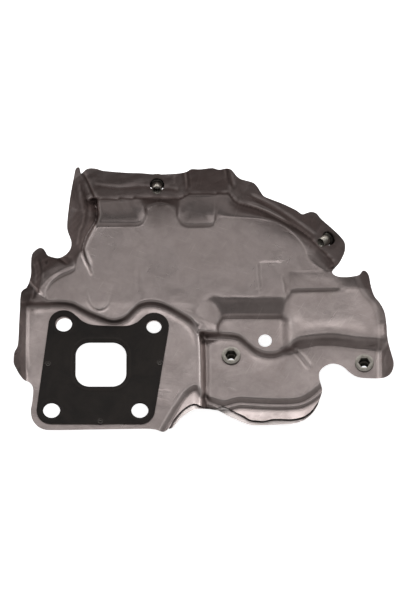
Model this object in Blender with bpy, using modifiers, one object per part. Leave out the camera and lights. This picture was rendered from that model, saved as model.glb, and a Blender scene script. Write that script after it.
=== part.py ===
"""Exhaust heat shield with its flange gasket.

A double walled pressed steel shield carries a black coated four stud gasket
at its lower left corner and four captive hexagonal rivet nuts.

Frame: the shield lies on its back, +Z towards the open side of the tray,
+X along its length, +Y across it. Lengths in the source are millimetres
until the objects are placed.

Both sheets are drawn on the die plane, which is square to the direction the
press works in. That direction leans PRESS_LEAN away from the normal of the
gasket. A point of the die plane is (u, v), measured from the middle of the
exhaust port, and the form of the pressing gives its height Z.
"""
import math

import bmesh
import bpy
import numpy as np
from mathutils import Matrix, Vector
from mathutils.geometry import delaunay_2d_cdt

# ---------------------------------------------------------------- driving dimensions (mm)
SHIELD_LENGTH = 219.4
SHIELD_WIDTH = 152.8
DRAWN_LENGTH = 219.4
DRAWN_WIDTH = 152.8
SHEET_THICKNESS = 0.5
SHEET_GAP = 0.5
LIP_GAP = 0.5
CLEARANCE = 0.3

GASKET_THICKNESS = 0.3
STUD_HOLE_DIAMETER = 9.8
UPPER_STUD_HOLE_DIAMETER = 8.8
PORT_LENGTH = 29.3
PORT_HEIGHT = 28.5
PORT_CORNER_RADIUS = 8.2
SHEET_HOLE_MARGIN = 0.5
PLAIN_HOLE_DIAMETER = 7.8
GASKET_LOBE_RADIUS = 8.7

RIVET_SHANK_DIAMETER = 1.8
RIVET_HEAD_DIAMETER = 3.4
RIVET_HEAD_THICKNESS = 0.4

NUT_ACROSS_CORNERS = 8.0
NUT_FLANGE_DIAMETER = 11.0
NUT_FLANGE_THICKNESS = 0.8
NUT_LENGTH = 9.0
NUT_MOUTH_ACROSS_CORNERS = 6.6
NUT_MOUTH_DEPTH = 3.6
NUT_THREAD_DIAMETER = 4.2
NUT_END_TAPER = 0.7
NUT_END_TAPER_LENGTH = 0.9
NUT_FLANGE_BREAK = 0.2
NUT_FLANGE_CHAMFER = 0.6
NUT_STEP_DOWN = 0.5

# ---------------------------------------------------------------- form of the pressing (mm)
PRESS_LEAN = math.radians(25.0)
PANEL_HEIGHT = 4.0
PANEL_SLOPE = 0.09
PANEL_SLOPE_START = 36.0
STRIP_HEIGHT = 3.2
STRIP_FALL = 1.7
POCKET_HEIGHT = -3.0
NUT_PANEL_HEIGHT = -6.5
SIDE_NUT_PANEL_HEIGHT = -4.5
SIDE_PANEL_HEIGHT = 2.0
COVE_RISE = 8.0
PAD_RISE = 1.3
RIM_BEAD = 0.55
RIM_BEAD_SPREAD = 1.1
GROOVE_DEPTH = 1.6
GROOVE_SPREAD = 1.5

# Rise of the top wall per millimetre from its foot, at places along u.
TOP_WALL_PLACES = (46.0, 49.0, 72.0, 75.0, 96.0)
TOP_WALL_SLOPES = (1.08, 1.3, 1.3, 1.05, 1.15)

# How far into its band a step has got, against its share of the fall.
POCKET_WALL_PLACES = (0.0, 0.1, 0.72, 1.0)
POCKET_WALL_FALL = (0.0, 0.03, 0.58, 1.0)
# Width of the pocket's wall at two places along u.
POCKET_WALL_ENDS = (60.0, 71.0)
POCKET_WALL_WIDTHS = (22.0, 13.0)
# Width of the edge of the raised side panel at three places along v.
SIDE_PANEL_PLACES = (13.0, 36.0, 41.0)
SIDE_PANEL_EDGE_WIDTHS = (6.0, 5.0, 1.8)
# The strip beside the notch starts and drops over these stretches of u.
STRIP_START = (105.0, 110.0)
STRIP_DROP = (132.0, 144.0)
STRIP_TOP = 54.0
STRIP_TOP_WIDTH = 10.0
# The level of the nut panel changes over this stretch of u.
NUT_PANEL_RAMP = (107.0, 121.0)
GASKET_STEP_WIDTH = 2.8
GASKET_STEP_SETTLE = 0.09
NUT_STEP_WIDTH = 4.0
PAD_EDGE_WIDTH = 2.6
COVE_EDGE_WIDTH = 1.7
COVE_POWER = 1.6

# Position of a wall from its foot against how far it has risen there.
WALL_STATIONS = (0.0, 1.3, 4.5, 9.0, 13.0, 18.0, 30.0)
UPPER_LEFT_WALL = (0.0, 1.9, 6.9, 13.9, 19.0, 24.5, 34.0)
LEFT_LOBE_WALL = (0.0, 2.2, 1.5, 6.0, 12.0, 19.0, 30.0)
LOWER_LEFT_WALL = (0.0, 0.6, 5.0, 10.5, 15.0, 20.0, 30.0)
RIGHT_WALL = (0.0, 1.0, 4.6, 10.0, 14.0, 19.0, 30.0)
LIP_STATIONS = (0.0, 3.2, 4.6, 5.8, 6.8, 13.0, 18.0)
LIP_WALL = (0.0, -2.6, -2.7, -3.9, -3.9, -1.0, 1.8)
DIAGONAL_STATIONS = (0.0, 2.8, 3.6, 8.0, 12.0)
DIAGONAL_WALL = (0.0, -2.6, -2.6, -0.8, 1.4)

# ---------------------------------------------------------------- drawing on the die plane (mm)
SHARED_EDGE = (
    (126.3, -20.7), (127.5, -17.3), (128.0, -14.6), (127.2, -11.5), (126.3, -8.0), (126.3, -4.8),
    (128.0, -2.3), (130.9, -0.4), (134.4, 0.4), (137.9, -0.3), (140.8, -1.9), (143.4, -4.3),
    (146.0, -6.2), (148.9, -7.4), (153.6, -8.0), (160.8, -8.1), (164.6, -7.3), (167.5, -5.1),
    (169.0, -1.6), (169.2, 1.3), (168.2, 5.4), (166.8, 10.6), (165.7, 16.4), (165.3, 23.3),
    (164.2, 30.3), (161.6, 35.5), (158.8, 39.0), (157.2, 42.8), (156.1, 47.1), (155.3, 51.2),
    (153.8, 53.8), (151.8, 54.3), (149.7, 51.9), (146.0, 51.0), (141.4, 50.6), (137.3, 51.0),
    (134.7, 52.3), (134.1, 53.8), (135.6, 55.8), (137.6, 58.1), (139.6, 61.6), (141.0, 65.1),
    (141.3, 68.6), (140.5, 71.5), (137.3, 75.3), (132.7, 79.6), (127.5, 84.2), (124.8, 87.4),
    (121.9, 88.4), (119.0, 87.7), (116.4, 87.1), (112.8, 89.5), (105.4, 93.1), (98.7, 95.7),
    (94.4, 97.6), (92.4, 100.2), (90.3, 103.4), (88.0, 105.4), (84.5, 106.5), (80.9, 107.6),
    (78.4, 109.5), (76.4, 112.0), (75.0, 113.2), (72.4, 113.6), (68.3, 112.9), (64.2, 113.8),
    (57.3, 113.1), (52.3, 113.2), (49.2, 111.6), (45.1, 110.8), (38.1, 110.3), (30.6, 110.3),
    (23.1, 110.9), (15.5, 111.1), (6.8, 111.7), (1.0, 112.3), (-2.8, 113.4), (-6.4, 113.7),
    (-8.8, 113.0), (-10.6, 111.5), (-11.7, 110.6), (-12.2, 112.1), (-12.7, 114.1), (-14.1, 114.1),
    (-15.1, 112.7), (-15.8, 109.2), (-17.5, 100.5), (-18.7, 91.8), (-19.7, 82.5), (-19.6, 77.9),
    (-18.4, 74.1), (-17.5, 71.5), (-17.5, 68.6), (-18.7, 65.7), (-21.3, 63.1), (-24.9, 61.6),
    (-29.4, 62.5), (-31.2, 63.4), (-32.3, 65.5), (-33.8, 67.2), (-35.6, 67.4), (-38.3, 65.7),
    (-40.0, 63.1), (-40.5, 58.1), (-40.6, 52.3), (-41.8, 47.1), (-43.4, 44.2),
)
FRONT_ONLY = (
    (-43.4, 44.2), (-45.5, 42.8), (-46.7, 39.6), (-47.4, 25.7), (-48.0, 11.7), (-49.9, 7.1),
    (-50.3, 1.3), (-48.7, -2.5), (-46.8, -5.9), (-44.2, -9.0), (-41.6, -10.1), (-39.6, -12.3),
    (-39.0, -15.5), (-39.5, -21.3), (-40.2, -26.0), (-39.6, -30.9), (-37.4, -34.4), (-34.4, -36.6),
    (-30.3, -37.6), (-20.4, -37.6), (-2.8, -37.3), (16.7, -37.0), (27.1, -36.9), (31.8, -37.4),
    (35.8, -38.7), (38.1, -37.8), (39.9, -35.8), (41.9, -32.0), (45.7, -27.5), (49.2, -24.5),
    (52.6, -22.8), (55.5, -22.8), (57.9, -24.0), (61.3, -24.7), (65.4, -25.1), (67.7, -25.0),
    (70.0, -24.3), (72.6, -24.8), (77.6, -27.4), (82.8, -29.8), (86.3, -31.8), (90.3, -32.3),
    (94.4, -32.5), (99.0, -31.5), (104.3, -31.4), (110.1, -31.5), (115.3, -30.6), (118.5, -29.2),
    (121.7, -26.7), (124.3, -23.3), (126.3, -20.7),
)
REAR_ONLY = (
    (-43.4, 44.2), (-40.7, 40.5), (-36.7, 39.4), (-30.9, 39.2), (-22.8, 39.4), (-14.6, 39.0),
    (-8.8, 37.0), (-3.6, 32.3), (1.6, 29.1), (7.4, 28.4), (12.6, 29.6), (16.7, 33.8), (20.7, 37.6),
    (26.5, 39.4), (33.5, 39.3), (40.5, 37.4), (46.3, 34.7), (52.1, 30.9), (57.3, 25.1),
    (60.2, 18.1), (61.1, 9.4), (61.3, -4.5), (61.3, -13.8), (60.2, -18.4), (56.7, -19.3),
    (52.6, -18.4), (48.0, -22.2), (43.9, -27.7), (40.7, -32.9), (39.0, -36.7), (41.3, -36.4),
    (43.6, -33.8), (46.8, -30.3), (51.5, -27.1), (55.5, -25.5), (60.8, -25.7), (65.4, -26.3),
    (68.3, -26.9), (72.4, -29.1), (78.2, -31.8), (84.0, -34.2), (87.4, -34.9), (93.2, -35.0),
    (101.4, -34.7), (109.5, -34.3), (115.3, -33.0), (119.3, -30.7), (122.8, -27.4), (125.1, -23.9),
    (126.3, -20.7),
)
RIM_LINE = (
    (-12.3, 112.1), (-8.8, 104.5), (-5.9, 99.3), (-3.0, 96.4), (1.0, 95.7), (10.9, 96.1),
    (22.5, 96.7), (29.4, 96.8), (39.9, 96.2), (45.1, 96.3), (49.2, 98.2), (52.6, 99.0),
    (63.1, 98.9), (72.4, 99.6), (74.7, 98.7), (77.0, 95.6), (80.5, 93.2), (86.3, 91.7),
    (93.2, 89.5), (100.8, 86.0), (109.5, 81.6), (115.3, 78.1), (121.1, 73.8), (125.7, 68.9),
    (129.8, 64.8), (136.2, 57.3),
)
PANEL_TOP = (
    (-2.5, 81.1), (9.7, 81.1), (21.3, 81.3), (24.2, 82.8), (26.2, 86.3), (27.7, 90.6), (30.3, 93.3),
    (34.4, 94.3), (38.4, 93.2), (41.3, 90.0), (43.6, 85.4), (46.3, 81.6), (49.7, 80.4),
    (57.3, 80.3), (63.7, 80.5), (66.0, 82.8), (67.7, 84.5), (71.8, 85.3), (86.3, 85.3),
    (96.7, 84.7), (103.7, 82.5), (110.1, 78.8), (114.7, 74.4), (117.3, 69.2), (118.8, 62.8),
    (122.8, 58.1), (129.8, 54.1),
)
GASKET_STEP = (
    (-47.1, 35.1), (-32.6, 35.1), (-23.9, 35.4), (-17.0, 34.6), (-11.7, 32.0), (-6.5, 29.4),
    (-0.7, 27.1), (5.7, 25.0), (10.3, 25.3), (14.4, 27.1), (17.8, 30.3), (21.9, 34.0), (26.5, 35.3),
    (32.3, 35.1), (38.7, 33.0), (45.1, 29.5), (50.9, 25.9), (55.0, 21.4), (57.6, 15.2), (58.6, 8.3),
    (59.1, -6.2), (59.2, -16.1),
)
DIAGONAL = (
    (59.2, -16.1), (55.0, -11.7), (50.9, -13.5), (46.8, -17.0), (42.2, -23.6), (37.6, -31.2),
    (33.8, -37.8),
)
POCKET = (
    (61.3, 25.1), (66.0, 30.6), (71.2, 32.9), (104.3, 33.0), (107.7, 32.0),
)
NUT_STEP = (
    (57.3, 17.8), (63.7, 17.3), (69.5, 17.0), (77.0, 16.4), (81.1, 14.8), (84.8, 11.7), (89.5, 8.0),
    (94.7, 5.9), (99.9, 5.6), (104.3, 7.1), (107.4, 9.3), (109.5, 10.6),
)
SIDE_PANEL_EDGE = (
    (107.3, 11.2), (106.8, 22.8), (107.3, 34.4), (108.0, 38.1), (109.8, 41.0), (113.0, 42.7),
    (141.4, 43.2), (153.6, 43.4), (158.2, 41.9), (161.1, 37.8), (162.3, 26.8), (162.8, 12.9),
    (150.1, 12.1), (141.4, 13.3), (132.7, 14.4), (122.2, 13.5), (114.1, 11.7), (110.1, 9.4),
)
LIP_LINE = (
    (60.8, -17.8), (65.4, -19.3), (70.6, -21.0), (75.3, -19.9), (80.5, -18.9), (93.2, -19.6),
    (104.8, -19.9), (113.5, -19.3), (118.2, -17.4), (122.8, -14.0), (129.2, -8.0),
)
LEFT_FOOT = (
    (-2.5, 95.8), (-2.1, 87.1), (-4.5, 82.5), (-7.4, 78.4), (-9.4, 74.4), (-10.1, 70.3),
    (-11.7, 66.3), (-13.5, 62.8), (-14.1, 59.3), (-14.4, 55.8), (-17.0, 53.2), (-22.8, 50.6),
    (-28.0, 46.8), (-30.9, 42.2), (-32.0, 37.0),
)
LOW_LEFT_FOOT = (
    (-32.0, 37.0), (-37.8, 37.0), (-41.3, 36.1), (-41.9, 31.5), (-42.1, 14.1), (-42.1, -4.5),
    (-41.6, -12.6),
)
RIGHT_FOOT = (
    (150.7, 55.8), (152.7, 49.4), (155.0, 45.0), (158.5, 41.6), (160.8, 36.7), (161.7, 24.5),
    (162.0, 11.2), (161.7, 1.3), (161.4, -11.5),
)
FIRST_PAD = ((-6.5, 97.6), (22.5, 97.6), (24.8, 92.4), (26.2, 86.3), (24.2, 82.8), (21.3, 80.0),
             (-6.5, 80.0))
SECOND_PAD = ((45.0, 97.0), (43.6, 85.4), (46.3, 81.6), (49.7, 79.5), (66.0, 80.5), (67.2, 99.0))
GROOVE = ((57.0, 22.0), (59.9, 15.0), (60.9, 8.0), (61.0, -19.0))

STUD_HOLES = ((-28.3, -29.1), (22.6, -29.1), (-21.8, 25.7), (30.6, 24.1))
# a rivet is a share of the way along one straight edge of the gasket, and this far in from that edge
GASKET_RIVETS = {"left": (0.48, 2.88), "right": (0.58, 1.87), "bottom": (0.554, 1.5)}
LEFT_EDGE_DIRECTION = 173.0
RIGHT_EDGE_DIRECTION = -8.0
GASKET_DIP = ((-14.0, 30.4), (-10.8, 27.4), (-6.5, 25.4), (0.0, 24.6), (12.0, 24.3),
              (17.0, 24.9), (21.0, 26.8))
PLAIN_HOLE = (95.0, 13.7)
NUTS_ON_PANELS = {"centre": (75.3, 4.8), "right": (152.4, 0.7)}
NUTS_ON_WALLS = {"top": (32.3, 104.2), "corner": (131.6, 73.0)}

STRETCH_X = SHIELD_LENGTH / DRAWN_LENGTH
STRETCH_Y = SHIELD_WIDTH / DRAWN_WIDTH
SIN_LEAN = math.sin(PRESS_LEAN)
COS_LEAN = math.cos(PRESS_LEAN)

FAR = 200.0
MESH_POINTS = 620
MESH_ROUNDS = 9
POINTS_PER_ROUND = 130
LEAST_SPACING = 1.4
FORM_TOLERANCE = 0.12
START_GRID_STEP = 15.0
START_GRID_MARGIN = 3.0
LEAST_FACING = 0.5
CUTTER_REACH = 12.0
NUT_CUTTER_REACH = 8.0
ROUND_SEGMENTS = 24
OUTLINE_STEP = 3.2
PROBE_STEP = 1.3
NUT_SEAT_MARGIN = 1.1
SMOOTH_PROBE = 3.0
BEND_SPREAD = 0.75
GRID_STEP = 0.6
GRID_LOW = (-60.0, -52.0)
GRID_HIGH = (182.0, 124.0)
MM = 0.001


# ---------------------------------------------------------------- curves and distances
def smooth_line(points, step, closed=False):
    """Runs a Catmull-Rom curve through the points and divides it evenly."""
    base = np.array(points, dtype=float)
    count = len(base)
    spans = count if closed else count - 1
    samples = []
    ts = np.linspace(0.0, 1.0, 12, endpoint=False)[:, None]
    for i in range(spans):
        if closed:
            a, b, c, d = (base[(i + k) % count] for k in (-1, 0, 1, 2))
        else:
            b, c = base[i], base[i + 1]
            a = base[i - 1] if i else b
            d = base[i + 2] if i + 2 < count else c
        samples.append(0.5 * (2 * b + (c - a) * ts + (2 * a - 5 * b + 4 * c - d) * ts ** 2
                              + (3 * b - a - 3 * c + d) * ts ** 3))
    samples.append((base[:1] if closed else base[-1:]))
    dense = np.vstack(samples)
    lengths = np.concatenate(([0.0], np.cumsum(np.linalg.norm(np.diff(dense, axis=0), axis=1))))
    parts = max(3, int(round(lengths[-1] / step)))
    marks = np.linspace(0.0, lengths[-1], parts + 1)
    out = np.column_stack([np.interp(marks, lengths, dense[:, k]) for k in (0, 1)])
    return out[:-1] if closed else out


def line_distance(u, v, line):
    """Distance from each point to an open line, and how far along it the nearest point is."""
    line = np.asarray(line, dtype=float)
    best = np.full(u.shape, 1e9)
    along = np.zeros(u.shape)
    run = 0.0
    for (ax, ay), (bx, by) in zip(line[:-1], line[1:]):
        dx = bx - ax
        dy = by - ay
        size = math.hypot(dx, dy)
        if size < 1e-9:
            continue
        t = np.clip(((u - ax) * dx + (v - ay) * dy) / size ** 2, 0.0, 1.0)
        d = np.hypot(u - ax - t * dx, v - ay - t * dy)
        closer = d < best
        best = np.where(closer, d, best)
        along = np.where(closer, run + t * size, along)
        run += size
    return best, along


def is_inside(u, v, loop):
    """True where a point is inside a closed loop."""
    loop = np.asarray(loop, dtype=float)
    inside = np.zeros(u.shape, dtype=bool)
    for (ax, ay), (bx, by) in zip(loop, np.roll(loop, -1, axis=0)):
        if ay == by:
            continue
        crosses = ((ay > v) != (by > v)) & (u < (bx - ax) * (v - ay) / (by - ay) + ax)
        inside ^= crosses
    return inside


def depth_inside(u, v, loop):
    """Distance to a closed loop, positive inside it."""
    ring = np.vstack([loop, np.asarray(loop)[:1]])
    return np.where(is_inside(u, v, loop), 1.0, -1.0) * line_distance(u, v, ring)[0]


def ease(depth, width, settle=0.05):
    """Goes from 0 to 1 across an edge of the given width, with a small settling dip."""
    t = np.clip(depth / width + 0.5, 0.0, 1.0)
    rim = np.exp(-((depth - 0.75 * width) / (0.35 * width)) ** 2)
    return t * t * (3.0 - 2.0 * t) + settle * rim


def soft_step(value, low, high):
    """Goes smoothly from 0 at low to 1 at high."""
    t = np.clip((value - low) / (high - low), 0.0, 1.0)
    return t * t * (3.0 - 2.0 * t)


# ---------------------------------------------------------------- the form
class DrawnForm:
    """Height of the pressing over the die plane, with sharp bends."""

    def __init__(self):
        def line(points, step=2.0):
            return smooth_line(points, step)

        self.rim = line(RIM_LINE[3:])
        self.rim_full = np.vstack([[(-60.0, 95.7)], self.rim])
        self.panel_top = line(PANEL_TOP)
        self.step = line(GASKET_STEP)
        self.diagonal = line(DIAGONAL)
        self.pocket = line(POCKET)
        self.nut_step = line(NUT_STEP)
        self.side_panel = smooth_line(SIDE_PANEL_EDGE, 2.0, closed=True)
        self.lip = line(LIP_LINE)
        self.left_foot = line(LEFT_FOOT + LOW_LEFT_FOOT[1:])
        self.right_foot = line(RIGHT_FOOT)
        self.groove = line(GROOVE)
        self.cove = np.vstack([self.panel_top, self.rim[::-1]])
        self.above_rim = np.vstack([self.rim_full, [(170.0, 60.0), (170.0, FAR), (-FAR, FAR)]])
        left_end = [(-42.0, -60.0), (-FAR, -60.0), (-FAR, FAR)]
        self.left_side = np.vstack([[(-2.5, FAR)], self.left_foot, left_end])
        right_end = [(161.0, -60.0), (FAR, -60.0), (FAR, 70.0)]
        self.right_side = np.vstack([[(150.0, 70.0)], self.right_foot, right_end])
        self.gasket = np.vstack([[(-FAR, 35.1)], self.step, [(59.2, -FAR), (-FAR, -FAR)]])
        self.below_lip = np.vstack([self.lip, [(150.0, -FAR), (60.8, -FAR)]])
        self.below_diagonal = np.vstack([self.diagonal, [(33.0, -FAR), (61.0, -FAR), (61.0, -18.0)]])
        pocket_end = [(120.0, 30.0), (170.0, 30.0), (170.0, -FAR), (55.0, -FAR)]
        self.pocket_area = np.vstack([self.pocket, pocket_end])
        nut_end = [(114.0, 15.5), (FAR, 15.5), (FAR, -FAR), (57.0, -FAR)]
        self.nut_area = np.vstack([self.nut_step, nut_end])
        _, marks = line_distance(np.array([-14.1, -32.0]), np.array([59.3, 37.0]), self.left_foot)
        self.left_marks = marks
        self.flats = []
        for u0, v0 in NUTS_ON_WALLS.values():
            probe = 3.5
            us = np.array([u0, u0 - probe, u0 + probe, u0, u0])
            vs = np.array([v0, v0, v0, v0 - probe, v0 + probe])
            z = self.raw(us, vs)
            slopes = ((z[2] - z[1]) / (2 * probe), (z[4] - z[3]) / (2 * probe))
            self.flats.append((u0, v0, float(np.mean(z[1:])), slopes))

    def panels(self, u, v):
        """The level of the flat panels and the steps between them."""
        z = PANEL_HEIGHT + PANEL_SLOPE * np.maximum(v - PANEL_SLOPE_START, 0.0)
        below_top = np.clip((STRIP_TOP - v) / STRIP_TOP_WIDTH, 0.0, 1.0)
        strip = soft_step(u, *STRIP_START) * below_top
        z = z + (STRIP_HEIGHT - STRIP_FALL * soft_step(u, *STRIP_DROP) - z) * strip
        band = np.interp(u, POCKET_WALL_ENDS, POCKET_WALL_WIDTHS)
        fall = depth_inside(u, v, self.pocket_area) / band + 0.5
        z = z + (POCKET_HEIGHT - z) * np.interp(fall, POCKET_WALL_PLACES, POCKET_WALL_FALL)
        share = np.interp(u, NUT_PANEL_RAMP, (0.0, 1.0))
        level = NUT_PANEL_HEIGHT + (SIDE_NUT_PANEL_HEIGHT - NUT_PANEL_HEIGHT) * share
        z = z + (level - z) * ease(depth_inside(u, v, self.nut_area), NUT_STEP_WIDTH)
        width = np.interp(v, SIDE_PANEL_PLACES, SIDE_PANEL_EDGE_WIDTHS)
        z = z + (SIDE_PANEL_HEIGHT - z) * ease(depth_inside(u, v, self.side_panel), width)
        z = z - z * ease(depth_inside(u, v, self.gasket), GASKET_STEP_WIDTH, GASKET_STEP_SETTLE)
        along_groove = line_distance(u, v, self.groove)[0]
        return z - GROOVE_DEPTH * np.exp(-(along_groove / GROOVE_SPREAD) ** 2)

    def walls(self, u, v):
        """What the cove, the standing walls and the lips add to the panels."""
        to_rim = line_distance(u, v, self.rim_full)[0]
        to_panel = line_distance(u, v, self.panel_top)[0]
        share = to_panel / (to_panel + to_rim + 1e-6)
        pad = np.maximum(ease(depth_inside(u, v, FIRST_PAD), PAD_EDGE_WIDTH, 0.0),
                         ease(depth_inside(u, v, SECOND_PAD), PAD_EDGE_WIDTH, 0.0))
        cove = (COVE_RISE - PAD_RISE * pad) * share ** COVE_POWER + PAD_RISE * pad
        top = cove * np.clip(depth_inside(u, v, self.cove) / COVE_EDGE_WIDTH + 0.5, 0.0, 1.0)
        above = is_inside(u, v, self.above_rim)
        slope = np.interp(u, TOP_WALL_PLACES, TOP_WALL_SLOPES)
        top = np.where(above, COVE_RISE + slope * to_rim, top)
        top = top + RIM_BEAD * np.exp(-(to_rim / RIM_BEAD_SPREAD) ** 2)

        reach, along = line_distance(u, v, self.left_foot)
        lobe = np.clip((along - self.left_marks[0] + 2.0) / 4.0, 0.0, 1.0)
        low = np.clip((along - self.left_marks[1]) / 8.0, 0.0, 1.0)
        upper = np.interp(reach, WALL_STATIONS, UPPER_LEFT_WALL)
        middle = np.interp(reach, WALL_STATIONS, LEFT_LOBE_WALL)
        lower = np.interp(reach, WALL_STATIONS, LOWER_LEFT_WALL)
        left = upper + (middle - upper) * lobe
        left = np.where(is_inside(u, v, self.left_side), left + (lower - left) * low, 0.0)

        right = np.interp(line_distance(u, v, self.right_foot)[0], WALL_STATIONS, RIGHT_WALL)
        right = np.where(is_inside(u, v, self.right_side), right, 0.0)
        lip = np.interp(line_distance(u, v, self.lip)[0], LIP_STATIONS, LIP_WALL)
        lip = np.where(is_inside(u, v, self.below_lip), lip, 0.0)
        slant = np.interp(line_distance(u, v, self.diagonal)[0], DIAGONAL_STATIONS, DIAGONAL_WALL)
        slant = np.where(is_inside(u, v, self.below_diagonal), slant, 0.0)
        return np.maximum(top, left) + right + lip + slant

    def raw(self, u, v):
        """The form before the seats of the wall nuts are flattened."""
        return self.panels(u, v) + self.walls(u, v)

    def height(self, u, v):
        """Height Z of the front face over the die plane."""
        z = self.raw(u, v)
        seat_radius = NUT_FLANGE_DIAMETER / 2 + NUT_SEAT_MARGIN
        for u0, v0, z0, (su, sv) in self.flats:
            seat = z0 + su * (u - u0) + sv * (v - v0)
            near = np.clip((seat_radius + 1.5 - np.hypot(u - u0, v - v0)) / 1.5, 0.0, 1.0)
            z = z + (seat - z) * near
        return z


def spline_weights(t):
    """The four weights of an even cubic spline."""
    return ((1 - t) ** 3 / 6, (3 * t ** 3 - 6 * t ** 2 + 4) / 6,
            (-3 * t ** 3 + 3 * t ** 2 + 3 * t + 1) / 6, t ** 3 / 6)


class Form:
    """The drawn form, softened to the least radius that the sheet can bend to."""

    def __init__(self):
        us = np.arange(GRID_LOW[0], GRID_HIGH[0], GRID_STEP)
        vs = np.arange(GRID_LOW[1], GRID_HIGH[1], GRID_STEP)
        uu, vv = np.meshgrid(us, vs)
        grid = DrawnForm().height(uu.ravel(), vv.ravel()).reshape(uu.shape)
        reach = math.ceil(3.0 * BEND_SPREAD / GRID_STEP)
        weights = np.exp(-0.5 * (np.arange(-reach, reach + 1) * GRID_STEP / BEND_SPREAD) ** 2)
        weights /= weights.sum()
        for axis in (0, 1):
            padded = np.pad(grid, [(reach, reach) if k == axis else (0, 0) for k in (0, 1)], mode="edge")
            span = range(grid.shape[axis])
            grid = sum(w * np.take(padded, [k + i for i in span], axis=axis) for k, w in enumerate(weights))
        self.grid = grid

    def height(self, u, v):
        """Height Z of the front face over the die plane."""
        x = (u - GRID_LOW[0]) / GRID_STEP
        y = (v - GRID_LOW[1]) / GRID_STEP
        column = np.clip(np.floor(x).astype(int), 1, self.grid.shape[1] - 3)
        row = np.clip(np.floor(y).astype(int), 1, self.grid.shape[0] - 3)
        total = np.zeros(u.shape)
        for j, down in enumerate(spline_weights(y - row)):
            for i, across in enumerate(spline_weights(x - column)):
                total += down * across * self.grid[row + j - 1, column + i - 1]
        return total

    def slopes(self, u, v, probe=0.4):
        """Rise of Z per millimetre of u and of v."""
        su = (self.height(u + probe, v) - self.height(u - probe, v)) / (2 * probe)
        sv = (self.height(u, v + probe) - self.height(u, v - probe)) / (2 * probe)
        return su, sv


def place(u, v, z):
    """Puts a point of the die plane with its height into the part's frame."""
    return np.column_stack([u * STRETCH_X, (v - z * SIN_LEAN) / COS_LEAN * STRETCH_Y, z])


def press_direction():
    """Unit direction of the press in the part's frame, towards the open side."""
    return np.array([0.0, -SIN_LEAN, COS_LEAN])


def normals(form, u, v, probe=0.4):
    """Unit normals of the form in the part's frame, towards the open side."""
    su, sv = form.slopes(u, v, probe)
    along_u = np.column_stack([np.full(u.shape, STRETCH_X), -su * SIN_LEAN / COS_LEAN * STRETCH_Y, su])
    along_v = np.column_stack([np.zeros(u.shape), (1.0 - sv * SIN_LEAN) / COS_LEAN * STRETCH_Y, sv])
    n = np.cross(along_u, along_v)
    return n / np.linalg.norm(n, axis=1)[:, None]


# ---------------------------------------------------------------- triangulating the die plane
def triangulate(points, edges):
    """Delaunay triangles of the points that keep the given edges."""
    result = delaunay_2d_cdt([Vector(p) for p in points], edges, [], 0, 1e-4)
    verts = np.array([tuple(p) for p in result[0]])
    faces = np.array([tuple(f) for f in result[2]])
    return verts, faces


def worst_points(form, verts, faces, limit, nearest):
    """Points of a regular grid where flat triangles miss the form the most."""
    z = form.height(verts[:, 0], verts[:, 1])
    low = verts.min(axis=0)
    found = []
    grid_u = np.arange(low[0], verts[:, 0].max(), PROBE_STEP)
    grid_v = np.arange(low[1], verts[:, 1].max(), PROBE_STEP)
    uu, vv = np.meshgrid(grid_u, grid_v)
    zz = form.height(uu.ravel(), vv.ravel()).reshape(uu.shape)
    for face in faces:
        tri = verts[list(face)]
        a, b, c = tri
        area = (b[0] - a[0]) * (c[1] - a[1]) - (c[0] - a[0]) * (b[1] - a[1])
        if abs(area) < 2.0:
            continue
        i0, i1 = np.searchsorted(grid_u, (tri[:, 0].min(), tri[:, 0].max()))
        j0, j1 = np.searchsorted(grid_v, (tri[:, 1].min(), tri[:, 1].max()))
        if i1 <= i0 or j1 <= j0:
            continue
        pu = uu[j0:j1, i0:i1]
        pv = vv[j0:j1, i0:i1]
        wb = ((pu - a[0]) * (c[1] - a[1]) - (c[0] - a[0]) * (pv - a[1])) / area
        wc = ((b[0] - a[0]) * (pv - a[1]) - (pu - a[0]) * (b[1] - a[1])) / area
        wa = 1.0 - wb - wc
        inside = (wa > 0.05) & (wb > 0.05) & (wc > 0.05)
        za, zb, zc = z[list(face)]
        error = np.where(inside, np.abs(wa * za + wb * zb + wc * zc - zz[j0:j1, i0:i1]), 0.0)
        k = int(np.argmax(error))
        if error.flat[k] > FORM_TOLERANCE:
            found.append((float(error.flat[k]), float(pu.flat[k]), float(pv.flat[k])))
    found.sort(reverse=True)
    chosen = []
    taken = [tuple(p) for p in verts]
    for error, pu, pv in found:
        near = min(math.hypot(pu - q[0], pv - q[1]) for q in taken)
        if near > nearest:
            chosen.append((pu, pv))
            taken.append((pu, pv))
        if len(chosen) >= limit:
            break
    return chosen


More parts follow.
